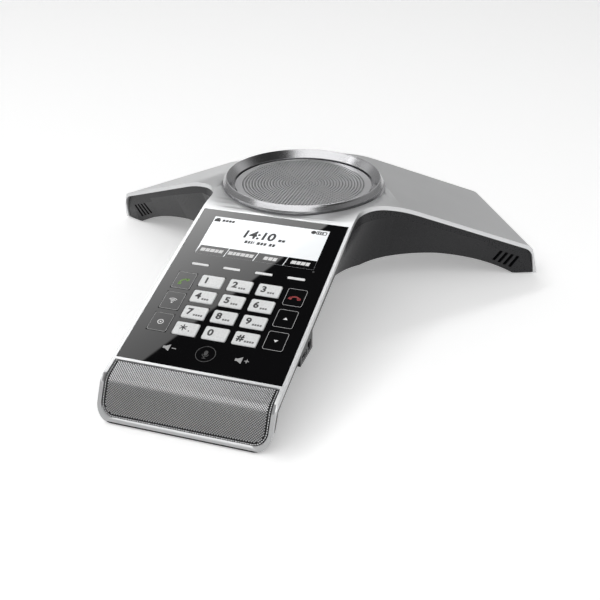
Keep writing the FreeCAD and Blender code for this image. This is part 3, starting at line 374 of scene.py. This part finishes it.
def make_world():
    """A grey studio: a large bright reflector with a straight edge, a pale band low behind, dark overhead."""
    world = bpy.data.worlds.new("studio")
    scene.world = world
    world.use_nodes = True
    tree = world.node_tree
    place = tree.nodes.new("ShaderNodeTexCoord").outputs["Generated"]

    def toward(direction):
        """How far the sky's direction points along another."""
        node = tree.nodes.new("ShaderNodeVectorMath")
        node.operation = "DOT_PRODUCT"
        tree.links.new(place, node.inputs[0])
        node.inputs[1].default_value = direction
        return node.outputs["Value"]

    def span(source, low, high, to_low, to_high):
        """A range of the source mapped to another."""
        node = tree.nodes.new("ShaderNodeMapRange")
        for key, value in (("From Min", low), ("From Max", high), ("To Min", to_low), ("To Max", to_high)):
            node.inputs[key].default_value = value
        tree.links.new(source, node.inputs["Value"])
        return node.outputs["Result"]

    def joined(a, b, how="MULTIPLY"):
        """Two strengths made into one."""
        node = tree.nodes.new("ShaderNodeMath")
        node.operation = how
        tree.links.new(a, node.inputs[0])
        tree.links.new(b, node.inputs[1])
        return node.outputs["Value"]

    def profile(source, stops):
        """A strength that runs through (place, value) stops as the source grows."""
        node = tree.nodes.new("ShaderNodeValToRGB")
        ramp = node.color_ramp.elements
        while len(ramp) < len(stops):
            ramp.new(0.5)
        for element, (place_on, value) in zip(ramp, stops):
            element.position = place_on
            element.color = (value, value, value, 1)
        tree.links.new(source, node.inputs["Fac"])
        return node.outputs["Color"]

    inside = span(toward(EDGE_NORMAL), -EDGE_SOFTNESS, EDGE_SOFTNESS, 0.0, 1.0)
    height = toward((0, 0, 1))
    near = tree.nodes.new("ShaderNodeMath")
    near.operation = "POWER"
    tree.links.new(span(height, *REFLECTOR_SPAN, 1.0, 0.0), near.inputs[0])
    near.inputs[1].default_value = REFLECTOR_POWER
    glow = joined(span(near.outputs["Value"], 0.0, 1.0, *REFLECTOR), span(height, *REFLECTOR_FOOT, 0.0, 1.0))
    band = joined(profile(height, BEHIND), span(toward(REAR), *REAR_SPAN, 0.0, 1.0))
    strength = joined(joined(joined(inside, glow), profile(height, AROUND), "MAXIMUM"), band, "MAXIMUM")
    background = tree.nodes["Background"]
    background.inputs["Color"].default_value = (1, 1, 1, 1)
    tree.links.new(strength, background.inputs["Strength"])


# each lamp's place, aim, size and power
LAMPS = {
    "overhead": ((-0.3, -0.85, 1.5), (0, 0, 0), (2.4, 1.4), 18.0),
    "right_fill": ((0.9, -1.3, 0.35), (0, 0, 0.02), (0.8, 0.5), 3.0),
}
make_floor()
make_world()
for name, lamp in LAMPS.items():
    area_light(name, *lamp)
scene.view_settings.view_transform = "Standard"


# ---------------------------------------------------------------- perforated sheets

def plate_with_holes(outline, holes):
    """Triangles of a flat plate with holes. Points are 2-D; returns points, faces and rim loops."""
    points, loops = [], []
    for ring in [outline] + holes:
        start = len(points)
        points += [Vector(p) for p in ring]
        loops.append(list(range(start, start + len(ring))))
    _, _, faces, origin, _, inside_of = delaunay_2d_cdt(points, [], loops, 1, 1e-6)
    back = [first[0] if first else -1 for first in origin]
    triangles = [[back[i] for i in face] for face, owners in zip(faces, inside_of) if len(owners) == 1]
    return points, [t for t in triangles if -1 not in t], loops


def thick_sheet(name, outline, holes, place, material, thickness):
    """A perforated sheet: place(point, depth) puts a flat point on its curved surface."""
    points, faces, loops = plate_with_holes(outline, holes)
    count = len(points)
    verts = [place(p, 0.0) for p in points] + [place(p, thickness) for p in points]
    solid = list(faces) + [[i + count for i in reversed(face)] for face in faces]
    for ring in loops:
        for i, here in enumerate(ring):
            ahead = ring[(i + 1) % len(ring)]
            solid.append([here, ahead, ahead + count, here + count])
    return new_piece(name, verts, solid, material)


def round_hole(x, y, radius, sides=8):
    """A circle of points about (x, y)."""
    return [(x + radius * math.cos(2 * math.pi * i / sides),
             y + radius * math.sin(2 * math.pi * i / sides)) for i in range(sides)]


HOLE_RINGS, HOLE_PITCH, HOLE_RADIUS = 20, 1.93, 0.67
DISC_SIDES, DISC_THICKNESS = 128, 0.6
# the dark dish behind the disc: each ring's radius and depth under the disc's face
BACKING_RINGS, BACKING_SIDES = ((42.6, 0.7), (30.0, 0.9), (1.0, 1.0)), 40


def speaker_disc():
    """The loudspeaker's perforated disc, rings of round holes inside a plain border, and its dark backing."""
    low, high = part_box("speaker_grille")
    centre = (low + high) / 2
    rim = (high.x - low.x) / 2 / MM
    holes = [round_hole(0, 0, HOLE_RADIUS)]
    for k in range(1, HOLE_RINGS + 1):
        count = 6 * k
        for i in range(count):
            angle = 2 * math.pi * (i + 0.5 * (k % 2)) / count
            reach = HOLE_PITCH * k
            holes.append(round_hole(reach * math.cos(angle), reach * math.sin(angle), HOLE_RADIUS))

    def place(point, depth):
        return Vector((centre.x + point[0] * MM, centre.y + point[1] * MM, high.z - depth * MM))

    outline = round_hole(0, 0, rim, DISC_SIDES)
    disc = thick_sheet("speaker_disc", outline, holes, place, disc_metal, DISC_THICKNESS)
    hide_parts("speaker_grille")
    verts, faces = [], []
    for i in range(BACKING_SIDES):
        angle = 2 * math.pi * i / BACKING_SIDES
        for reach, drop in BACKING_RINGS:
            verts.append(place((reach * math.cos(angle), reach * math.sin(angle)), drop))
    for i in range(BACKING_SIDES):
        ahead = (i + 1) % BACKING_SIDES
        for j in range(2):
            faces.append((3 * i + j, 3 * i + j + 1, 3 * ahead + j + 1, 3 * ahead + j))
    faces.append([3 * i + 2 for i in range(BACKING_SIDES)])
    new_piece("speaker_backing", verts, faces, cloth_black)


speaker_disc()


# ---------------------------------------------------------------- mesh over the nose

# the nose's side view: distance out from the hub's axis and height of its slope, bend and leaning face
REACH, LEAN, HUB_HEIGHT, SLOPE_START = 199.0, 0.523, 60.0, 47.2
FALL = math.tan(SLOPE)
BEND_OUT = (REACH - LEAN * (HUB_HEIGHT + SLOPE_START * FALL)) / (1 - LEAN * FALL)
BEND_UP = HUB_HEIGHT - (BEND_OUT - SLOPE_START) * FALL
BEND_RADIUS, BEND_STEPS = 8.0, 14
SOLE_UP = 1.0
# the mesh's window: where it starts on the slope, its lowest point, half its width and its lower corners
WINDOW_TOP, WINDOW_LOW, WINDOW_HALF, WINDOW_CORNER = 175.7, 3.2, 44.7, 7.4
CORNER_STEPS = 8
# margins of the mesh, of its holes, of the plate behind it and of that plate's grid: sides and foot, then top
MESH_MARGINS, HOLE_MARGINS, PLATE_MARGINS, GRID_MARGINS = (1.15, 0.3), (2.0, 1.2), (0.06, 0.06), (1.5, 1.5)
COARSE_STEP = 3.0


def nose_profile():
    """Pairs of a point (out, up) and its normal along the nose, from the panel's edge to the sole."""
    slope = Vector((math.cos(SLOPE), -math.sin(SLOPE)))
    face = Vector((LEAN, -1.0)).normalized()
    half = slope.angle(-face) / 2
    cut = BEND_RADIUS / math.tan(half)
    corner = Vector((BEND_OUT, BEND_UP))
    start = corner - slope * cut
    turn = math.pi - 2 * half
    upwards = Vector((math.sin(SLOPE), math.cos(SLOPE)))
    centre = start - upwards * BEND_RADIUS
    top_up = HUB_HEIGHT - (WINDOW_TOP - SLOPE_START) * FALL
    points = [(Vector((WINDOW_TOP, top_up)), upwards)]
    for i in range(BEND_STEPS + 1):
        angle = math.pi / 2 - SLOPE - turn * i / BEND_STEPS
        normal = Vector((math.cos(angle), math.sin(angle)))
        points.append((centre + normal * BEND_RADIUS, normal))
    points.append((Vector((REACH - LEAN * SOLE_UP, SOLE_UP)), points[-1][1]))
    return points


PROFILE = nose_profile()
ALONG = [0.0]
for i in range(1, len(PROFILE)):
    ALONG.append(ALONG[-1] + (PROFILE[i][0] - PROFILE[i - 1][0]).length)


def on_nose(x, s, depth=0.0):
    """A point of the nose at x across and s along the profile, sunk by depth."""
    i = 0
    while i < len(ALONG) - 2 and ALONG[i + 1] < s:
        i += 1
    share = (s - ALONG[i]) / (ALONG[i + 1] - ALONG[i])
    spot = PROFILE[i][0].lerp(PROFILE[i + 1][0], share)
    normal = PROFILE[i][1].lerp(PROFILE[i + 1][1], share).normalized()
    spot = spot - normal * depth
    return HUB + Vector((x, -spot.x, spot.y)) * MM


def along_at_height(up):
    """The distance along the profile at which the leaning face is at a height."""
    a, b = PROFILE[-2][0], PROFILE[-1][0]
    return ALONG[-2] + (a.y - up) / (a.y - b.y) * (ALONG[-1] - ALONG[-2])


def window_outline(margin, top_margin, step=1.2):
    """The grille window's outline in (x, s), brought in by a margin."""
    half, low = WINDOW_HALF - margin, WINDOW_LOW + margin
    corner = max(WINDOW_CORNER - margin, 1.0)
    left_end = along_at_height(low + corner)
    count = max(int((left_end - top_margin) / step), 2)
    left = [(-half, top_margin + (left_end - top_margin) * i / count) for i in range(count)]
    for i in range(CORNER_STEPS + 1):
        angle = math.pi + math.pi / 2 * i / CORNER_STEPS
        left.append((-half + corner + corner * math.cos(angle),
                     along_at_height(low + corner + corner * math.sin(angle))))
    right = [(-x, s) for x, s in reversed(left)]
    width = 2 * (half - corner)
    count = max(int(width / step), 2)
    bottom = [(-half + corner + width * i / count, left[-1][1]) for i in range(1, count)]
    count = max(int(2 * half / step), 2)
    top = [(half - 2 * half * i / count, top_margin) for i in range(1, count)]
    return left + bottom + right + top


def within(point, outline):
    """Whether a point lies inside a closed outline."""
    x, y = point
    inside = False
    for i, (xi, yi) in enumerate(outline):
        xj, yj = outline[i - 1]
        if (yi > y) != (yj > y) and x < (xj - xi) * (y - yi) / (yj - yi) + xi:
            inside = not inside
    return inside


# the mesh's diamonds: pitch across, distance between rows and half a hole's width
DIAMOND_PITCH, DIAMOND_ROW, DIAMOND_HALF = 1.36, 0.68, 0.45
MESH_SINK, MESH_THICKNESS = 0.2, 0.4


def nose_mesh():
    """The fine diamond mesh over the nose."""
    outline = window_outline(*MESH_MARGINS)
    field = window_outline(*HOLE_MARGINS, COARSE_STEP)
    most = int(WINDOW_HALF / DIAMOND_PITCH) + 1
    size = DIAMOND_HALF
    holes = []
    for j in range(int(ALONG[-1] / DIAMOND_ROW)):
        for i in range(-most, most + 1):
            x, s = (i + 0.5 * (j % 2)) * DIAMOND_PITCH, j * DIAMOND_ROW
            if within((x, s), field):
                holes.append([(x + size, s), (x, s + size), (x - size, s), (x, s - size)])

    def place(point, depth):
        return on_nose(point[0], point[1], MESH_SINK + depth)

    sheet = thick_sheet("nose_mesh", outline, holes, place, mesh_metal, MESH_THICKNESS)
    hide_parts("front_grille")


# the plate behind the mesh: the pitch of its grid, its columns at each bend, and how deep its two faces lie
PLATE_GRID, PLATE_COLUMNS, PLATE_DEPTHS = 4.0, 12, (0.85, 1.2)


def nose_backing():
    """The dark plate behind the mesh, which also floors the gap round it."""
    outline = window_outline(*PLATE_MARGINS)
    field = window_outline(*GRID_MARGINS, COARSE_STEP)
    most = int(WINDOW_HALF / PLATE_GRID)
    grid = [(i * PLATE_GRID, j * PLATE_GRID) for j in range(1, int(ALONG[-1] / PLATE_GRID) + 1)
            for i in range(-most, most + 1)]
    points = [Vector(p) for p in outline + [p for p in grid if within(p, field)]]
    edges = [(i, (i + 1) % len(outline)) for i in range(len(outline))]
    half = WINDOW_HALF - PLATE_MARGINS[0]
    for s in ALONG[1:-1]:
        start = len(points)
        row = [Vector((-half + 2 * half * i / PLATE_COLUMNS, s)) for i in range(PLATE_COLUMNS + 1)]
        row = [p for p in row if within((p.x * 0.999, p.y), outline)]
        points += row
        edges += [(start + i, start + i + 1) for i in range(len(row) - 1)]
    verts, _, faces, _, _, _ = delaunay_2d_cdt(points, edges, [], 1, 1e-5)
    count = len(verts)
    solid = [on_nose(v.x, v.y, depth) for depth in PLATE_DEPTHS for v in verts]
    shell = [list(face) for face in faces] + [[i + count for i in reversed(face)] for face in faces]
    uses = {}
    for face in faces:
        for i, a in enumerate(face):
            b = face[(i + 1) % len(face)]
            key = (min(a, b), max(a, b))
            uses[key] = uses.get(key, 0) + 1
    for (a, b), times in uses.items():
        if times == 1:
            shell.append([a, b, b + count, a + count])
    new_piece("nose_backing", solid, shell, cloth_black)


# the hem's beads: pitch, depth of their middles, width against height, and rings of (along, radius)
BEAD_PITCH, BEAD_SINK, BEAD_WIDTH, BEAD_SIDES = 1.25, 0.32, 0.9, 8
BEAD_RINGS = ((-0.46, 0.10), (-0.30, 0.27), (0.0, 0.34), (0.30, 0.27), (0.46, 0.10))
HEM_MARGIN, HEM_TOP, HEM_STEP = 1.0, 0.6, 0.4


def add_bead(verts, faces, spot, along, face_out):
    """One round-ended bead at a spot of the hem."""
    side = along.cross(face_out)
    base, sides = len(verts), BEAD_SIDES
    for reach, radius in BEAD_RINGS:
        for k in range(sides):
            angle = 2 * math.pi * k / sides
            verts.append(spot - face_out * BEAD_SINK * MM + along * reach * MM
                         + (side * math.cos(angle) * BEAD_WIDTH + face_out * math.sin(angle)) * radius * MM)
    for r in range(len(BEAD_RINGS) - 1):
        for k in range(sides):
            a, b = base + sides * r + k, base + sides * r + (k + 1) % sides
            faces.append((a, b, b + sides, a + sides))
    faces.append([base + k for k in range(sides)])
    faces.append([base + sides * (len(BEAD_RINGS) - 1) + k for k in reversed(range(sides))])


def bead_run():
    """The bright beaded hem that holds the mesh down its two sides and along its foot."""
    path = window_outline(HEM_MARGIN, HEM_TOP, HEM_STEP)
    line = [on_nose(x, s) for x, s in path]
    below_top = [s > HEM_TOP + 0.01 for _, s in path]
    verts, faces = [], []
    carried = 0.0
    for i in range(len(path) - 1):
        if not (below_top[i] and below_top[i + 1]):
            continue
        here, ahead = line[i], line[i + 1]
        length = (ahead - here).length
        along = (ahead - here).normalized()
        face_out = (on_nose(*path[i], -1.0) - here).normalized()
        while carried < length:
            add_bead(verts, faces, here.lerp(ahead, carried / length), along, face_out)
            carried += BEAD_PITCH * MM
        carried -= length
    new_piece("nose_beading", verts, faces, stitch_metal, smooth=True)


nose_mesh()
nose_backing()
bead_run()


# ---------------------------------------------------------------- softened cover edges

# the cover, in millimetres from the hub's axis: the ring's seat, where the rear arms begin, the skirt's hem
SEAT_RADIUS, REAR_FROM, SKIRT_HEM = 57.0, -48.0, 3.0
# the front arm's sides, where the nose begins, the nose's foot, and its two lower corners
SIDES_FROM, NOSE_FROM, NOSE_FOOT = 46.2, -176.0, 1.75
CORNER_OUT, CORNER_UP, CORNER_RADIUS = 37.8, 9.8, 8.3
# the rounding: radius, steps, the least bend that is rounded, and how far down a face beside it may look
EDGE_ROUND, EDGE_STEPS, EDGE_BEND, EDGE_LOWEST = 0.55, 2, math.radians(38), -0.6
# points closer than this are one (metres), faces flatter than this are one, and edges over this stay sharp
WELD, FLAT, SHARP = 2e-6, math.radians(0.6), math.radians(32)
EVEN_WEIGHT = 90


def on_outer_edge(spot):
    """Whether a point of the cover, given in metres, lies on its outer outline."""
    x, y, z = (spot.x - HUB.x) / MM, (spot.y - HUB.y) / MM, spot.z / MM
    if math.hypot(x, y) < SEAT_RADIUS:
        return False
    if y > REAR_FROM:
        return z > SKIRT_HEM
    if abs(x) > SIDES_FROM:
        return True
    if y > NOSE_FROM:
        return False
    if abs(x) > CORNER_OUT and z < CORNER_UP:
        return math.hypot(abs(x) - CORNER_OUT, z - CORNER_UP) > CORNER_RADIUS
    return z < NOSE_FOOT


def soften_cover():
    """The silver cover with its outer edges rounded off."""
    shape = bmesh.new()
    shape.from_mesh(nodes["top_shell"].data)
    bmesh.ops.remove_doubles(shape, verts=shape.verts[:], dist=WELD)
    bmesh.ops.dissolve_limit(shape, angle_limit=FLAT, verts=shape.verts[:], edges=shape.edges[:])
    chosen = []
    for edge in shape.edges:
        if len(edge.link_faces) != 2:
            continue
        middle = (edge.verts[0].co + edge.verts[1].co) / 2
        lowest = min(face.normal.z for face in edge.link_faces)
        if edge.calc_face_angle_signed(0.0) > EDGE_BEND and on_outer_edge(middle) and lowest > EDGE_LOWEST:
            chosen.append(edge)
    bmesh.ops.bevel(shape, geom=chosen, offset=EDGE_ROUND * MM, segments=EDGE_STEPS, profile=0.5,
                    affect="EDGES", clamp_overlap=True, loop_slide=True)
    mesh = bpy.data.meshes.new("cover")
    shape.to_mesh(mesh)
    shape.free()
    mesh.materials.append(silver)
    mesh.polygons.foreach_set("use_smooth", [True] * len(mesh.polygons))
    mesh.set_sharp_from_angle(angle=SHARP)
    cover = bpy.data.objects.new("cover", mesh)
    scene.collection.objects.link(cover)
    even = cover.modifiers.new("even", "WEIGHTED_NORMAL")
    even.keep_sharp = True
    even.weight = EVEN_WEIGHT
    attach(cover, "phone")
    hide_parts("top_shell")


soften_cover()


# ---------------------------------------------------------------- shapes of printed marks

# how far a print stands out and reaches in, and how numerals stand (millimetres)
PRINT_RISE, THIN_RISE, FAINT_RISE, PRINT_SINK = 0.04, 0.03, 0.02, 0.02
TEXT_HALF_DEPTH, TEXT_RISE, TEXT_CURVES = 0.03, 0.02, 4


def top_of(node):
    """How far a node's top stands above the panel's face, in millimetres."""
    return max((v.co - PANEL_TOP).dot(OUT) for v in nodes[node].data.vertices) / MM


def print_shapes(name, shapes, height, material, body, thickness=PRINT_RISE):
    """A printed mark that rides on a body: flat outlines (x, v), each raised as a thin prism."""
    verts, faces = [], []
    for outline in shapes:
        base, count = len(verts), len(outline)
        verts += [on_panel(x, v, height + thickness) for x, v in outline]
        verts += [on_panel(x, v, height - PRINT_SINK) for x, v in outline]
        faces.append(list(range(base, base + count)))
        faces.append([base + count + i for i in reversed(range(count))])
        for i in range(count):
            ahead = (i + 1) % count
            faces.append([base + i, base + ahead, base + count + ahead, base + count + i])
    new_piece(name, verts, faces, material, body)


def print_text(name, words, x, v, size, height, body, lean, weight):
    """Numerals in the plain built-in face, centred on (x, v)."""
    curve = bpy.data.curves.new(name, "FONT")
    curve.body = words
    curve.size = size
    curve.shear = lean
    curve.offset = weight
    curve.align_x = "CENTER"
    curve.align_y = "CENTER"
    curve.extrude = TEXT_HALF_DEPTH
    curve.resolution_u = TEXT_CURVES
    holder = bpy.data.objects.new(name + "_text", curve)
    scene.collection.objects.link(holder)
    depsgraph = bpy.context.evaluated_depsgraph_get()
    mesh = bpy.data.meshes.new_from_object(holder.evaluated_get(depsgraph))
    bpy.data.objects.remove(holder)
    verts = [on_panel(x + p.co.x, v - p.co.y, height + p.co.z + TEXT_RISE) for p in mesh.vertices]
    faces = [tuple(polygon.vertices) for polygon in mesh.polygons]
    new_piece(name, verts, faces, ink, body)


def bar(x, v, width, height, slant=0.0):
    """A small printed bar, its top shifted sideways by slant."""
    return [(x - width / 2 + slant, v - height / 2), (x + width / 2 + slant, v - height / 2),
            (x + width / 2, v + height / 2), (x - width / 2, v + height / 2)]


def arc(x, v, radius, start, end, steps):
    """Points along an arc from one angle to another, in degrees; v runs down."""
    angles = [math.radians(start + (end - start) * i / steps) for i in range(steps + 1)]
    return [(x + radius * math.cos(a), v - radius * math.sin(a)) for a in angles]


def arc_band(x, v, inner, outer, start, end, steps):
    """A band between two arcs about one centre."""
    return arc(x, v, outer, start, end, steps) + arc(x, v, inner, start, end, steps)[::-1]


def ring_quads(x, v, inner, outer, sides):
    """A ring, or a dot where inner is 0, as separate sectors."""
    return [arc_band(x, v, inner, outer, 360 * i / sides, 360 * (i + 1) / sides, 1) for i in range(sides)]


def frame_quads(x, v, width, height, line, corner, sides=5):
    """A rounded rectangular outline as quads that share no face."""
    def loop(grow):
        points = []
        for cx, cy, start in ((1, -1, 90), (-1, -1, 180), (-1, 1, 270), (1, 1, 0)):
            for i in range(sides + 1):
                a = math.radians(start - 90 + 90 * i / sides)
                points.append((x + cx * (width / 2 - corner) + (corner + grow) * math.cos(a),
                               v + cy * (height / 2 - corner) - (corner + grow) * math.sin(a)))
        return points
    outer, inner = loop(0), loop(-line)
    count = len(outer)
    return [[outer[i], outer[(i + 1) % count], inner[(i + 1) % count], inner[i]] for i in range(count)]


def turned(shape, x, v, angle):
    """A shape turned about (x, v) by an angle in degrees."""
    c, s = math.cos(math.radians(angle)), math.sin(math.radians(angle))
    return [(x + (px - x) * c - (pv - v) * s, v + (px - x) * s + (pv - v) * c) for px, pv in shape]


def handset(x, v, angle):
    """A telephone handset seen from the side: a bowed grip with two thick ends."""
    centre = v + 2.6
    grip = arc_band(x, centre, 2.65, 3.65, 35, 145, 14)
    ends = [arc_band(x, centre, 1.9, 3.9, start, start + 30, 6) for start in (18, 132)]
    return [turned(shape, x, v + 0.8, angle) for shape in [grip] + ends]


def loudspeaker(x, v):
    """A small loudspeaker that faces right."""
    return [(x - 2.1, v - 0.8), (x - 0.9, v - 0.8), (x + 1.6, v - 2.3), (x + 1.6, v + 2.3),
            (x - 0.9, v + 0.8), (x - 2.1, v + 0.8)]


def microphone(x, v):
    """A microphone: a capsule in a cradle, on a stem and a foot."""
    capsule = arc(x, v - 1.4, 0.95, 0, 180, 10) + arc(x, v + 0.2, 0.95, 180, 360, 10)
    cradle = arc_band(x, v + 0.1, 1.5, 1.85, 180, 360, 12)
    return [capsule, cradle, bar(x, v + 2.4, 0.4, 1.0), bar(x, v + 2.95, 2.0, 0.35)]


# ---------------------------------------------------------------- legends

# where the keys stand on the panel, in millimetres across and down it
COLUMNS = {"left": -32.33, "1": -16.76, "2": 0.0, "3": 16.76, "right": 32.33}
DIAL_ROW, DIAL_STEP = 60.91, 12.38
SIDE_ROW, SIDE_STEP = 63.05, 16.42
# the dial keys, row by row, and how many small dashes stand beside each numeral
DIAL_KEYS = (("1", "2", "3"), ("4", "5", "6"), ("7", "8", "9"), ("star", "0", "hash"))
DASHES = {"2": 3, "3": 3, "4": 3, "5": 3, "6": 3, "7": 4, "8": 3, "9": 4, "hash": 4}
NUMERAL_SIZE, NUMERAL_WEIGHT = 6.2, 0.22
# a side key's outline: width, height, line and corner
SIDE_OUTLINE = (11.0, 13.1, 0.26, 1.2)


def star_mark(x, v):
    """A six-pointed star and a full stop."""
    middle, down = x - 1.6, v - 0.4
    arms = [turned(bar(middle, down, 0.62, 4.4), middle, down, turn) for turn in (0, 60, 120)]
    return arms + [bar(x + 2.0, v + 1.5, 0.7, 0.7)]


def dial_legends():
    """A numeral or a sign on each pale dial key, and dashes in place of its letters."""
    for row, names in enumerate(DIAL_KEYS):
        for column, name in enumerate(names):
            x = COLUMNS[str(column + 1)]
            v = DIAL_ROW + DIAL_STEP * row
            node = f"key_{name}"
            height = top_of(node)
            if name == "star":
                print_shapes("mark_star", star_mark(x, v), height, ink, node)
                continue
            glyph = "#" if name == "hash" else name
            print_text(f"mark_{name}", glyph, x - 2.9, v + 0.1, NUMERAL_SIZE, height, node,
                       0.0, NUMERAL_WEIGHT)
            if name in DASHES:
                dashes = [bar(x + 0.3 + 1.4 * i, v + 2.0, 1.1, 1.25) for i in range(DASHES[name])]
                print_shapes(f"dashes_{name}", dashes, height, grey_ink, node, THIN_RISE)


def side_mark(kind, x, v):
    """The sign of a side key and its ink."""
    if kind == "call":
        return handset(x, v, -42), green_ink
    if kind == "end":
        return handset(x, v, 0), red_ink
    if kind == "link":
        waves = [arc_band(x, v + 1.4, r, r + 0.42, 45, 135, 8) for r in (1.0, 2.0, 3.0)]
        return waves + ring_quads(x, v + 1.4, 0.0, 0.5, 12), pale_ink
    if kind == "ok":
        return ring_quads(x, v, 1.25, 1.75, 24) + ring_quads(x, v, 0.0, 0.55, 12), pale_ink
    way = -1 if kind == "up" else 1
    return [[(x - 1.25, v - 0.7 * way), (x + 1.25, v - 0.7 * way), (x, v + 0.9 * way)]], pale_ink


def side_legends():
    """A thin outline and a sign on each black side key."""
    for side, kinds in SIDE_KEYS.items():
        for row, kind in enumerate(kinds):
            x, v = COLUMNS[side], SIDE_ROW + SIDE_STEP * row
            node = f"key_{kind}"
            height = top_of(node)
            outline = frame_quads(x, v, *SIDE_OUTLINE)
            print_shapes(f"outline_{kind}", outline, height, line_ink, node)
            shapes, tone = side_mark(kind, x, v)
            print_shapes(f"mark_{kind}", shapes, height, tone, node)


# the display's four dark tabs, in millimetres across and down the panel
TAB_LEFT, TAB_PITCH, TAB_TOP, TAB_BOTTOM, TAB_GAP, TAB_SLANT = -35.5, 17.75, 32.3, 39.6, 0.45, 1.2
# the widths of the bars that stand on each tab in place of words
TAB_WORDS = ((2.8, 2.4, 2.6, 2.0, 2.4), (2.6, 1.6, 2.2, 2.6, 2.0, 2.4), (2.4, 2.4, 2.2), (3.0, 2.2, 2.4, 2.2))
WORD_ROW, WORD_HEIGHT, WORD_GAP, WORD_SLANT, WORD_LIFT = 35.9, 2.7, 0.35, 0.4, 0.045
# the line of bars under the clock: their widths, with 0 for a space
LINE_BARS = (1.6, 1.2, 0.9, 0.5, 0.0, 1.8, 1.4, 1.4, 0.0, 1.5, 1.5)
LINE_LEFT, LINE_ROW, LINE_HEIGHT, LINE_GAP, LINE_SPACE, LINE_SLANT = -10.5, 24.6, 2.3, 0.5, 1.3, 0.25


def display_tabs(height):
    """Four dark tabs along the display's foot, with pale bars in place of their words."""
    tabs, bars = [], []
    last = len(TAB_WORDS) - 1
    for i, widths in enumerate(TAB_WORDS):
        start = TAB_LEFT + TAB_PITCH * i
        end = TAB_LEFT + TAB_PITCH * (i + 1) - (TAB_GAP if i < last else 0)
        far = end + (TAB_SLANT if i < last else 0)
        tabs.append([(start + TAB_SLANT, TAB_TOP), (far, TAB_TOP), (end, TAB_BOTTOM), (start, TAB_BOTTOM)])
        total = sum(widths) + WORD_GAP * (len(widths) - 1)
        x = TAB_LEFT + TAB_PITCH * (i + 0.5) - total / 2
        for width in widths:
            bars.append(bar(x + width / 2, WORD_ROW, width, WORD_HEIGHT, WORD_SLANT))
            x += width + WORD_GAP
    print_shapes("display_tabs", tabs, height, gloss, "phone")
    print_shapes("display_tab_words", bars, height + WORD_LIFT, pale_ink, "phone", THIN_RISE)


def line_of_bars():
    """The short line of bars under the clock."""
    bars = []
    x = LINE_LEFT
    for width in LINE_BARS:
        if width:
            bars.append(bar(x + width / 2, LINE_ROW, width, LINE_HEIGHT, LINE_SLANT))
            x += width + LINE_GAP
        else:
            x += LINE_SPACE
    return bars


def display_contents():
    """What the display shows: tabs, a clock, a line of bars and the row of small signs along its top."""
    height = top_of("lcd_window")
    display_tabs(height)
    print_text("display_clock", "14:10", -4.2, 18.2, 9.1, height, "phone", 0.1, 0.26)
    beside_clock = [bar(9.4 + 2.2 * i, 19.9, 1.8, 1.9, 0.2) for i in range(2)]
    top_left = [bar(-33.0, 9.3, 3.6, 2.3), bar(-33.0, 7.6, 2.2, 0.9)]
    top_left += [bar(-29.2 + 2.0 * i, 9.0, 1.6, 1.9, 0.25) for i in range(4)]
    battery = frame_quads(31.2, 8.6, 6.4, 2.9, 0.5, 0.6, 3)
    battery += [bar(29.4 + 1.3 * i, 8.6, 0.9, 1.5) for i in range(3)]
    small = beside_clock + line_of_bars() + top_left + ring_quads(26.4, 8.6, 0.0, 1.5, 16) + battery
    print_shapes("display_small_marks", small, height, ink, "phone")


TOUCH_ROW = 112.5


def touch_marks():
    """The signs of the three touch areas, and the lamp below the display's right corner."""
    height, v = top_of("face_panel"), TOUCH_ROW
    quieter = [loudspeaker(-21.6, v), bar(-17.6, v, 2.4, 0.55)]
    louder = [loudspeaker(18.2, v), bar(22.4, v, 2.4, 0.5), bar(22.4, v, 0.5, 2.4)]
    for name, shapes, tone, rise in (
            ("mark_volume_down", quieter, line_ink, PRINT_RISE),
            ("mark_volume_up", louder, line_ink, PRINT_RISE),
            ("mark_mute_ring", ring_quads(0, v, 5.0, 5.4, 48), faint_ink, FAINT_RISE),
            ("mark_mute", microphone(0, v), dim_ink, PRINT_RISE),
            ("status_light", ring_quads(36.0, 41.2, 0.0, 0.6, 16), dim_ink, PRINT_RISE)):
        print_shapes(name, shapes, height, tone, "phone", rise)


dial_legends()
side_legends()
display_contents()
touch_marks()
